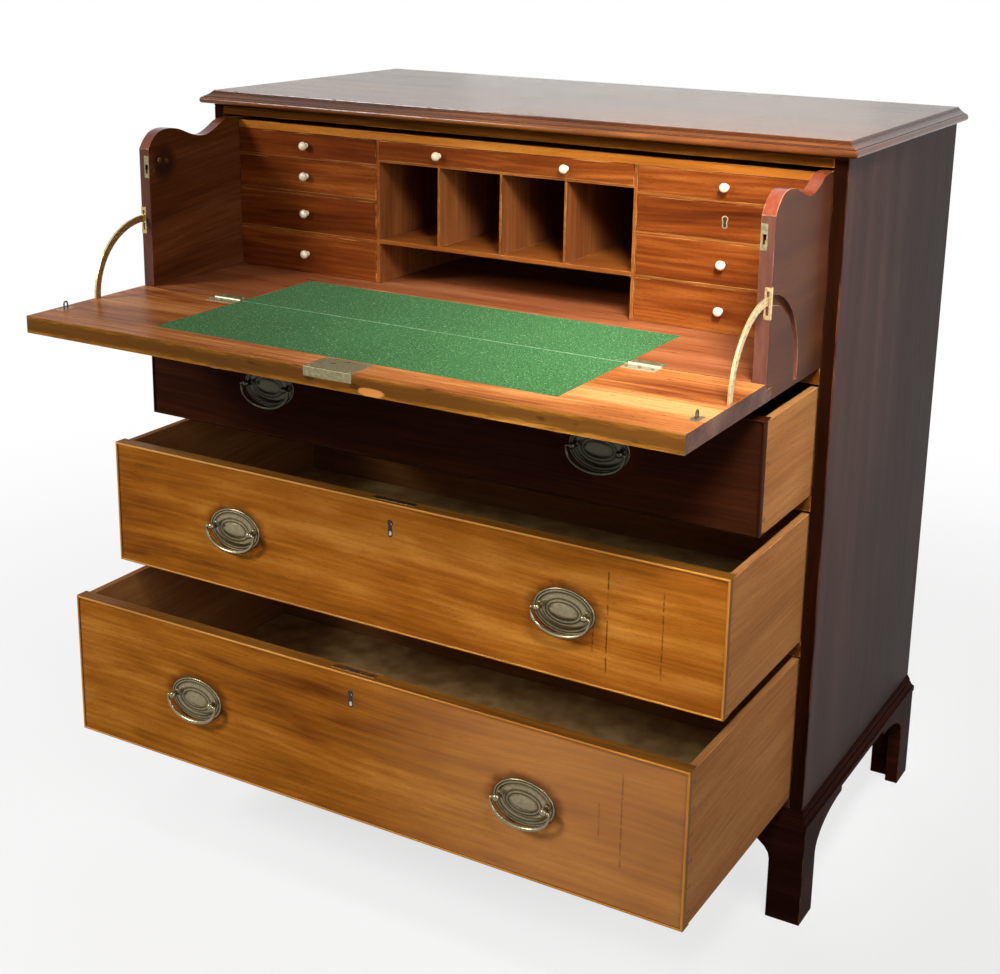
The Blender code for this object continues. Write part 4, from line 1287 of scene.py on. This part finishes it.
# %% [markdown]
# ## The secretaire: bed, wings and fall
# The top drawer's front lets down to make a desk. Its bed carries a nest of small drawers, and two
# wings stand on each side, cut down in a soft curve towards the front.
# %% Bed, wings and fall
nest_front, fall_edge_y = -0.0253, -0.4575
parts = [(dressed("writing_bed", "x", 0.0005), bed_wood)]
assemble("bed_panel", parts, "secretaire", ["writing_bed"])


def wing_finish(face):
    """The wide faces, the curve on top, which takes a brighter red copy as painted light, and the
    duller front edge.
    """
    if abs(face.normal.x) > 0.7:
        return wing_wood
    return wing_top_painted_light_wood if face.normal.z > 0.2 else wing_face_wood


def fall_finish(face):
    """The outside is finished like the drawers, the rubbed edge and dark ends by themselves."""
    if abs(face.normal.x) > 0.5:
        return fall_end_wood
    if face.normal.z < -0.5:
        return front_wood
    is_edge = face.calc_center_median().y < fall_edge_y and face.normal.y < -0.5
    return fall_edge_wood if is_edge else fall_wood


for side, _ in sides:
    parts = [(dressed("wing_" + side, "y", 0.0006, 0.1, [("y", "z")]), wing_finish)]
    assemble(f"wing_{side}_board", parts, "secretaire", ["wing_" + side])
parts = [(dressed("fall_board", "x", 0.0010), fall_finish)]
assemble("fall_panel", parts, "fall", ["fall_board"])


# %% Nest, with gold facing strips on its front edges
top_strip_low = 1.0335


def nest_finish(face):
    """Front edges are faced with light strips, and the insides are plainer. Inner faces that look
    up take the strip wood, as painted light on the floors.
    """
    middle = face.calc_center_median()
    if middle.y < nest_front + 0.0006:
        return facing_wood if middle.z > top_strip_low else strip_and_painted_light_floor_wood
    return strip_and_painted_light_floor_wood if face.normal.z > 0.7 else inner_wood


for node in ("nest_case", "nest_stack_left", "nest_stack_right", "pigeonholes"):
    parts = [(dressed(node, "x", 0.0003, 0, [("x", "z")]), nest_finish)]
    assemble(node + "_boards", parts, "secretaire", [node])

# %% Small drawers with ivory knobs
knob_profile = [
    (0.0030, -0.0010), (0.0040, 0.0004), (0.0027, 0.0018), (0.0025, 0.0032), (0.0030, 0.0045),
    (0.0050, 0.0060), (0.0062, 0.0076), (0.0065, 0.0090), (0.0061, 0.0106), (0.0050, 0.0120),
    (0.0034, 0.0130), (0.0015, 0.0134), (0.0004, 0.0135),
]
small_front, small_side, small_floor, fit = 0.010, 0.005, 0.003, 0.0002


def small_drawer(name, knobs):
    """A front, two sides, a back and a floor of thin oak, and a knob at each X in knobs."""
    low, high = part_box(name)
    box_front, inset = nest_front + small_front + fit, small_side + fit
    front_high = (high.x, nest_front + small_front, high.z)
    parts = [(plank((low.x, nest_front, low.z), front_high, "x", 0.0007), nest_wood)]
    for x_low, x_high in ((low.x, low.x + small_side), (high.x - small_side, high.x)):
        side_board = plank((x_low, box_front, low.z), (x_high, high.y, high.z - 0.002), "y", 0.0004)
        parts.append((side_board, oak))
    left, right = low.x + inset, high.x - inset
    back_low = (left, high.y - small_side, low.z + 0.001)
    parts.append((plank(back_low, (right, high.y, high.z - 0.004), "x", 0.0004), oak))
    floor = low.z + small_floor
    floor_low = (left, box_front, floor - 0.002)
    parts.append((plank(floor_low, (right, high.y - inset, floor), "x", 0.0003), oak))
    assemble(name + "_boards", parts, name, [name])
    middle_z = (low.z + high.z) / 2
    turned_knobs = [
        (turned(knob_profile, (x, nest_front, middle_z), towards_front, 28), ivory) for x in knobs
    ]
    if turned_knobs:
        assemble(name + "_knob", turned_knobs, name)


locked_drawer = "small_drawer_right_2"
for side, _ in sides:
    for row in range(1, 5):
        name = f"small_drawer_{side}_{row}"
        low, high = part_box(name)
        small_drawer(name, [] if name == locked_drawer else [(low.x + high.x) / 2])
small_drawer("small_drawer_centre", [-0.1025, 0.1025])

# %% Baize
def felt_sheet(name, node, body):
    """A sheet of baize in its shallow bed, with the faintest waves that glue leaves."""
    low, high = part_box(node)

    def slack(i, j):
        return 0.00025 * noise.noise(Vector((i * 0.13, j * 0.13, low.y * 7)))

    sheet = crisp(blanket((low.x, low.y, high.z - 0.0010), high, (120, 36), slack, 0.0009))
    piece = assemble(name, [(sheet, baize)], body, [node])


felt_sheet("baize_on_bed", "baize_rear", "secretaire")
felt_sheet("baize_on_fall", "baize_front", "fall")

# %% Stays, hinges and studs
for side, _ in sides:
    stay, hinge, button = "quadrant_" + side, "fall_hinge_" + side, "catch_button_" + side
    parts = [(dressed(stay, "y", 0.0004), stay_brass)]
    assemble(stay + "_stay", parts, "fall", [stay])
    parts = [(dressed(hinge, "x", 0.0002), leaf_brass)]
    assemble(hinge + "_leaf", parts, "fall", [hinge])
    low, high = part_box(hinge)
    leaf = plank((low.x, high.y + 0.0002, 0.8209), (high.x, high.y + 0.0185, 0.8220), "x", 0.0002)
    assemble(f"bed_hinge_{side}_leaf", [(leaf, lock_brass)], "secretaire")
    parts = [(dressed(button, "x", 0.0006), button_brass)]
    assemble(button + "_stud", parts, button, [button])

# %% Fall lock, with two slots for its hooked bolts
# The bolts' slots are dark plates: painted shadow in place of holes.
bolt_slots = [
    crisp(prism(
        [(x, y), (x + 0.0070, y + 0.0030), (x + 0.0066, y + 0.0048), (x - 0.0004, y + 0.0018)],
        "z", 0.8214, 0.8217,
    ))
    for x, y in ((0.0010, -0.4330), (0.0135, -0.4205))
]
parts = [(dressed("lock_plate", "x", 0.0003), lock_brass)]
parts += [(bolt_slot, shadow_black) for bolt_slot in bolt_slots]
assemble("fall_lock", parts, "fall", ["lock_plate"])

# %% Handles and keyhole on the fall's outside, keyhole of the small drawer that locks
downwards = (0, 0, -1)
low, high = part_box("fall_left_plate")
for side, sign in sides:
    centre = (sign * long_handles[0][0], (low.y + high.y) / 2, 0.7995)
    drop_handle("fall_" + side, centre, downwards, towards_front, "fall")
keyhole("fall_keyhole", (0, -0.4233, 0.7980), downwards, towards_front, "fall")
low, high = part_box(locked_drawer)
centre = ((low.x + high.x) / 2, nest_front, (low.z + high.z) / 2)
keyhole(
    locked_drawer + "_keyhole", centre, towards_front, upwards, locked_drawer, 0.017, 0.0090,
    0.0014, (), stay_brass,
)

# %% Slotted plates on the wings
wing_front, catch_x, stay_x, writing_z = -0.2277, 0.46795, 0.4770, 0.8215


def slotted_plate(centre_x, half_width, z_ends, slot, y_ends):
    """Two halves that meet on the centre line round a slot.

    The slot is given as its lowest Z, its waist, its highest Z, and its half widths."""
    slot_low, waist, slot_high, half_low, half_high = slot
    halves = []
    for h in (-1, 1):
        outline = [
            (0, z_ends[1]), (h * half_width, z_ends[1]), (h * half_width, z_ends[0]),
            (0, z_ends[0]), (0, slot_low), (h * half_low, slot_low), (h * half_low, waist),
            (h * half_high, waist), (h * half_high, slot_high), (0, slot_high),
        ]
        halves.append(crisp(prism([(centre_x + u, v) for u, v in outline], "y", *y_ends), "z"))
    return halves


def catch_plate(side, sign):
    """The plate that a striker enters, with a slot that is wider above its waist."""
    slot = (0.9865, 0.9920, 0.9990, 0.0015, 0.0027)
    y_ends = (wing_front - 0.0002, wing_front + 0.001)
    halves = slotted_plate(sign * catch_x, 0.00425, (0.9800, 1.0115), slot, y_ends)
    parts = [(part, lock_brass) for part in halves]
    assemble(f"catch_{side}_plate", parts, "secretaire")


def stay_plate(side, sign):
    """The plate that a quadrant stay slides through, with a cheek beside the slot."""
    z_ends, near = (0.8990, 0.9375), wing_front - 0.0003
    slot = (0.9040, 0.9100, 0.9330, 0.0018, 0.0018)
    parts = slotted_plate(sign * stay_x, 0.0041, z_ends, slot, (near, wing_front + 0.001))
    inner, outer = span(sign, 0.4806, 0.4816)
    cheek_high = (outer, wing_front + 0.004, z_ends[1])
    parts.append(plank((inner, near, z_ends[0]), cheek_high, "z", 0.0003))
    parts = [(part, stay_brass) for part in parts]
    assemble(f"quadrant_{side}_plate", parts, "secretaire")


# %% Strikers on the fall, and small studs round the buttons
striker_y, loop_half, loop_rise, loop_crown = -0.399, 0.0032, 0.0070, 0.0030
base_half_x, base_half_y, base_sunk, base_proud = 0.0060, 0.0120, 0.0006, 0.0002
button_head = [
    (0.0062, 0.0), (0.0062, 0.0002), (0.0052, 0.0004), (0.0030, 0.00052), (0.0006, 0.0006)
]


def striker(side, sign):
    """A loop of iron wire on a small plate, let into the fall."""
    x = sign * catch_x
    base_low = (x - base_half_x, striker_y - base_half_y, writing_z - base_sunk)
    base_high = (x + base_half_x, striker_y + base_half_y, writing_z + base_proud)
    parts = [(plank(base_low, base_high, "y", 0.0003), lock_brass)]
    assemble(f"striker_{side}_base", parts, "fall")
    arch = [(0, -loop_half, 0), (0, -loop_half, loop_rise)]
    for angle in (math.radians(a) for a in range(20, 170, 20)):
        height = loop_rise + loop_crown * math.sin(angle)
        arch.append((0, -loop_half * math.cos(angle), height))
    arch += [(0, loop_half, loop_rise), (0, loop_half, 0)]
    name = f"striker_{side}_loop"
    foot = Vector((x, striker_y, writing_z))
    mesh = path_mesh(name, [foot + Vector(step) for step in arch], [0.0011] * len(arch))
    grow(name, mesh, sweep, "fall", slot="old_brass", Sides=12, Finish=iron)


def wing_studs(side, sign):
    studs = [
        turned([(r * size, h) for r, h in button_head], (sign * 0.4635, y, z), (-sign, 0, 0), 24)
        for y, z, size in ((-0.190, 1.0006, 0.62), (-0.2175, 0.9886, 0.5))
    ]
    parts = [(stud, button_brass) for stud in studs]
    assemble(f"wing_{side}_studs", parts, "secretaire")


for side, sign in sides:
    for fitting in (catch_plate, stay_plate, striker, wing_studs):
        fitting(side, sign)

# %% [markdown]
# ## Screws, nails and lint by the handful
# Screws, nails and threads of lint are each one small shape, copied many times. Geometry Nodes does
# it: one tree sets a copy on every point, turned as the point's own attribute says, and another
# scatters copies over a face from a fixed seed.
# %% One head and one fibre
def pattern(name, bm):
    """A shape that is only there to be copied."""
    mesh = bpy.data.meshes.new(name)
    bm.to_mesh(mesh)
    bm.free()
    return bpy.data.objects.new(name, mesh)


head_rings = (
    (1, -0.3), (1, 0.10), (0.92, 0.2), (0.7, 0.3), (0.45, 0.36), (0.2, 0.4), (0.06, 0.4)
)


def slotted_head(slot_depth):
    """A domed head of radius 1 with a slot across it."""
    loops = []
    for radius, rise in head_rings:
        ring = []
        for k in range(48):
            x, y = radius * math.cos(math.pi * k / 24), radius * math.sin(math.pi * k / 24)
            ring.append((x, y, rise - (slot_depth if abs(y) < 0.15 and rise > 0 else 0)))
        loops.append(ring)
    return skin(loops)


screw_head = pattern("pattern_screw", slotted_head(0.3))
nail_head = pattern("pattern_nail", slotted_head(0.0))
fibre_turns = [(-1, 0.0), (-0.55, 0.22), (-0.1, 0.1), (0.35, -0.16), (0.75, -0.05), (1, 0.16)]
fibre = pattern("pattern_fibre", skin([
    [(u, v + 0.05 * math.cos(a), 0.05 + 0.05 * math.sin(a)) for a in (0.5, 2.1, 3.7, 5.3)]
    for u, v in fibre_turns
]))
print("A head has", len(screw_head.data.polygons), "faces, a fibre", len(fibre.data.polygons))

# %% A tree that sets a copy on every point
copies, given = start_tree("Copies on points", Pattern="Object", Finish="Material")
shape = put(copies, "GeometryNodeObjectInfo", 4, Object=given["Pattern"])
heads = put(
    copies, "GeometryNodeInstanceOnPoints", Points=given["Geometry"], Instance=shape,
    Rotation=named(copies, "FLOAT_VECTOR", "turn"), Scale=named(copies, "FLOAT", "thick"),
)
end_tree(copies, heads, given["Finish"])
print("Tree:", copies.name, "with", len(copies.nodes), "nodes")

# %% A tree that scatters fibres
scatter, given = start_tree(
    "Scattered fibres", Pattern="Object", Density="Float", Seed="Int", Length="Float",
    Finish="Material",
)


def drawn(tree, kind, first_input, out, low, high):
    """A number or a vector that is drawn anew for each copy, between low and high."""
    node = tree.nodes.new("FunctionNodeRandomValue")
    node.data_type = kind
    for socket, value in zip(node.inputs[first_input : first_input + 2], (low, high)):
        socket.default_value = value
    return node.outputs[out]


shape = put(scatter, "GeometryNodeObjectInfo", 4, Object=given["Pattern"])
spots = put(
    scatter, "GeometryNodeDistributePointsOnFaces", Mesh=given["Geometry"],
    Density=given["Density"], Seed=given["Seed"],
)
angle = drawn(scatter, "FLOAT_VECTOR", 0, 0, (0, 0, 0), (0, 0, 6.28))
size = times(scatter, drawn(scatter, "FLOAT", 2, 1, 0.35, 1.0), given["Length"])
threads = put(
    scatter, "GeometryNodeInstanceOnPoints", Points=spots, Instance=shape, Rotation=angle,
    Scale=size,
)
end_tree(scatter, threads, given["Finish"])
print("Tree:", scatter.name, "with", len(scatter.nodes), "nodes")


# %% Drive the screws and nails
def drive(name, body, places, finish, head=screw_head):
    """Sets a head at each place, given as (point, out, radius)."""
    mesh = bpy.data.meshes.new(name)
    mesh.from_pydata([point for point, _, _ in places], [], [])
    thick = mesh.attributes.new("thick", "FLOAT", "POINT")
    thick.data.foreach_set("value", [radius for _, _, radius in places])
    turns = []
    for i, (_, out, _) in enumerate(places):
        spin = Matrix.Rotation(0.7 + 1.9 * i, 3, "Z")
        turns += (Vector(out).to_track_quat("Z", "Y").to_matrix() @ spin).to_euler()[:]
    mesh.attributes.new("turn", "FLOAT_VECTOR", "POINT").data.foreach_set("vector", turns)
    grow(name, mesh, copies, body, slot="old_brass", Pattern=head, Finish=finish)


# Each row is given as its name, its body, its points on the right, the way out, the head's radius
# and its finish.
hinge_screws = (0.308, 0.325, 0.342)
fall_hinge_points = [(x, -0.2440, 0.8236) for x in hinge_screws]
bed_hinge_points = [(x, -0.2150, 0.8221) for x in hinge_screws]
striker_points = [(catch_x, y, 0.8210) for y in (-0.4085, -0.3895)]
catch_points = [(catch_x, wing_front + 0.0003, z) for z in (0.9830, 1.0075)]
screw_rows = (
    ("fall_hinge", "fall", fall_hinge_points, upwards, 0.0022, lock_brass),
    ("bed_hinge", "secretaire", bed_hinge_points, upwards, 0.0022, lock_brass),
    ("striker", "fall", striker_points, upwards, 0.0016, iron),
    ("catch", "secretaire", catch_points, towards_front, 0.0014, iron),
)
for side, sign in sides:
    for what, body, points, out, radius, finish in screw_rows:
        places = [((sign * x, y, z), out, radius) for x, y, z in points]
        drive(f"{what}_{side}_screws", body, places, finish)
corners = [(x, y) for x in (-0.0150, 0.0450) for y in (-0.4530, -0.4145)]
places = [((x, y, 0.8216), upwards, 0.0021) for x, y in corners]
drive("fall_lock_screws", "fall", places, lock_brass)

nails = []
for i in range(back_board_count):
    for share in (0.2, 0.8):
        x = -inner_half + 2 * inner_half * (i + share) / back_board_count
        nails += [((x, 0.4588, z), (0, 1, 0), 0.0026) for z in (0.178, 0.408, 0.614, 0.786, 1.058)]
drive("back_board_nails", "carcase", nails, iron, nail_head)

# %% Lint on the baize
def flat_field(name, low_x, low_y, high_x, high_y, z):
    """One level face."""
    mesh = bpy.data.meshes.new(name)
    corners = [(low_x, low_y, z), (high_x, low_y, z), (high_x, high_y, z), (low_x, high_y, z)]
    mesh.from_pydata(corners, [], [(0, 1, 2, 3)])
    return mesh


margin_x, margin_y = 0.004, 0.003
for name, node, body, seed in (
    ("lint_on_bed", "baize_rear", "secretaire", 5), ("lint_on_fall", "baize_front", "fall", 8)
):
    low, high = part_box(node)
    field = flat_field(
        name, low.x + margin_x, low.y + margin_y, high.x - margin_x, high.y - margin_y,
        high.z - 0.0001,
    )
    grow(
        name, field, scatter, body, slot="green_baize", Pattern=fibre, Density=9000.0, Seed=seed,
        Length=0.0016, Finish=lint,
    )

# %% Locks inside the long drawers
# Each board is given as its half width, its near and low place and its far and high place (both
# from the front's face and from its top), its easing and its metal.
lock_half, bolt_half = 0.034, 0.008
lock_boards = (
    (lock_half, (0.0050, -0.0010), (0.0150, 0.0002), 0.0002, button_brass),
    # The bolt's slot is painted shadow, a dark strip.
    (bolt_half, (0.0075, -0.0006), (0.0125, 0.0003), 0, shadow_black),
    (lock_half, (0.0204, -0.0560), (0.0275, -0.0040), 0.0008, lock_brass),
)
for drawer, face in faces.items():
    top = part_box(drawer + "_front")[1].z
    parts = []
    for half_width, (near, low_z), (far, high_z), ease, metal in lock_boards:
        start = (-half_width, face + near, top + low_z)
        board = plank(start, (half_width, face + far, top + high_z), "x", ease)
        parts.append((board, metal))
    assemble(drawer + "_lock", parts, drawer)
    places = [
        ((x, face + 0.0276, top + z), (0, 1, 0), 0.0026)
        for x in (-0.028, 0.028) for z in (-0.050, -0.010)
    ]
    places += [((x, face + 0.0100, top - 0.0007), upwards, 0.0024) for x in (-0.025, 0.025)]
    drive(drawer + "_lock_screws", drawer, places, iron)
for shape in (screw_head, nail_head, fibre):
    bpy.data.objects.remove(shape)

# %% [markdown]
# ## Light and floor
# The chest was photographed against white, under soft lamps. A large floor takes its shadow, and
# the world is white for the camera and for reflections, while it lights the chest more gently.
# %% World
world = bpy.data.worlds.new("studio")
bpy.context.scene.world = world
world.use_nodes = True
tree = world.node_tree
tree.nodes.clear()
world_light = 0.2


def seen_share(tree):
    """1 for what the camera sees, straight on, through glass or mirrored, and 0 for light."""
    path = tree.nodes.new("ShaderNodeLightPath").outputs
    seen = calc(tree, "MAXIMUM", path["Is Camera Ray"], path["Is Transmission Ray"])
    return calc(tree, "MAXIMUM", seen, path["Is Glossy Ray"])


strength = fade(tree, seen_share(tree), 0, 1, world_light, 1.0)
sky = put(tree, "ShaderNodeBackground", Color=(1, 1, 1, 1), Strength=strength)
tree.links.new(sky, tree.nodes.new("ShaderNodeOutputWorld").inputs[0])
print("The world lights the chest at", world_light)


# %% Lamps
def softbox(name, place, target, size, power, colour=(1, 1, 1), spread=180):
    """A rectangular lamp at a place, aimed at a target, in metres and watts."""
    lamp = bpy.data.objects.new(name, bpy.data.lights.new(name, "AREA"))
    lamp.data.shape, lamp.data.size, lamp.data.size_y = "RECTANGLE", size[0], size[1]
    lamp.data.energy, lamp.data.color, lamp.data.spread = power, colour, math.radians(spread)
    aim = (Vector(target) - Vector(place)).to_track_quat("-Z", "Y")
    lamp.matrix_world = Matrix.Translation(place) @ aim.to_matrix().to_4x4()
    bpy.context.scene.collection.objects.link(lamp)
    print(f"Lamp {name}: {power} W")


softbox("key", (-2.2, -2.7, 2.4), (0, -0.2, 0.5), (0.9, 0.9), 104)
softbox("right", (0.85, -0.85, 1.72), (0.34, -0.15, 0.88), (0.4, 0.4), 4.0, spread=45)
softbox("low", (2.3, -1.2, 1.2), (0.4, 0, 0.6), (1.2, 1.2), 24, (1, 0.96, 0.92))
softbox("rear", (-1.2, 3.2, 0.7), (0, 0.45, 0.5), (1.4, 0.9), 34)
softbox("behind_side", (2.5, 2.7, 0.6), (0.5, 0, 0.8), (1.1, 0.9), 8, (1, 0.88, 0.84))

# %% Floor
floor_finish, tree = new_finish("studio_floor")
place, _ = axes(tree)
away = put_sum(tree, "ShaderNodeVectorMath", "LENGTH", place, out=1)
glow = fade(tree, away, 0.8, 2.4, 0.72, 1.0)
seen = seen_share(tree)
grey = ramp(tree, grain(tree, place, (3, 3, 3)), (0, tone(120, 120, 120)), (1, tone(132, 132, 132)))
matt = put(tree, "ShaderNodeBsdfDiffuse", Color=blend(tree, seen, grey, tone(244, 244, 244)))
white = put(tree, "ShaderNodeEmission", Color=(1, 1, 1, 1), Strength=1.0)
mixer = tree.nodes.new("ShaderNodeMixShader")
for index, value in enumerate((times(tree, seen, glow), matt, white)):
    fill(tree, mixer.inputs[index], value)
tree.links.new(mixer.outputs[0], tree.nodes.new("ShaderNodeOutputMaterial").inputs[0])
reach, floor_z = 40, -0.0002
mesh = flat_field("floor", -reach, -reach, reach, reach, floor_z)
mesh.materials.append(floor_finish)
floor = bpy.data.objects.new("floor", mesh)
bpy.context.scene.collection.objects.link(floor)
print("The floor reaches", 2 * reach, "m across")

# %% Finish
bpy.context.scene.view_settings.view_transform = "Standard"
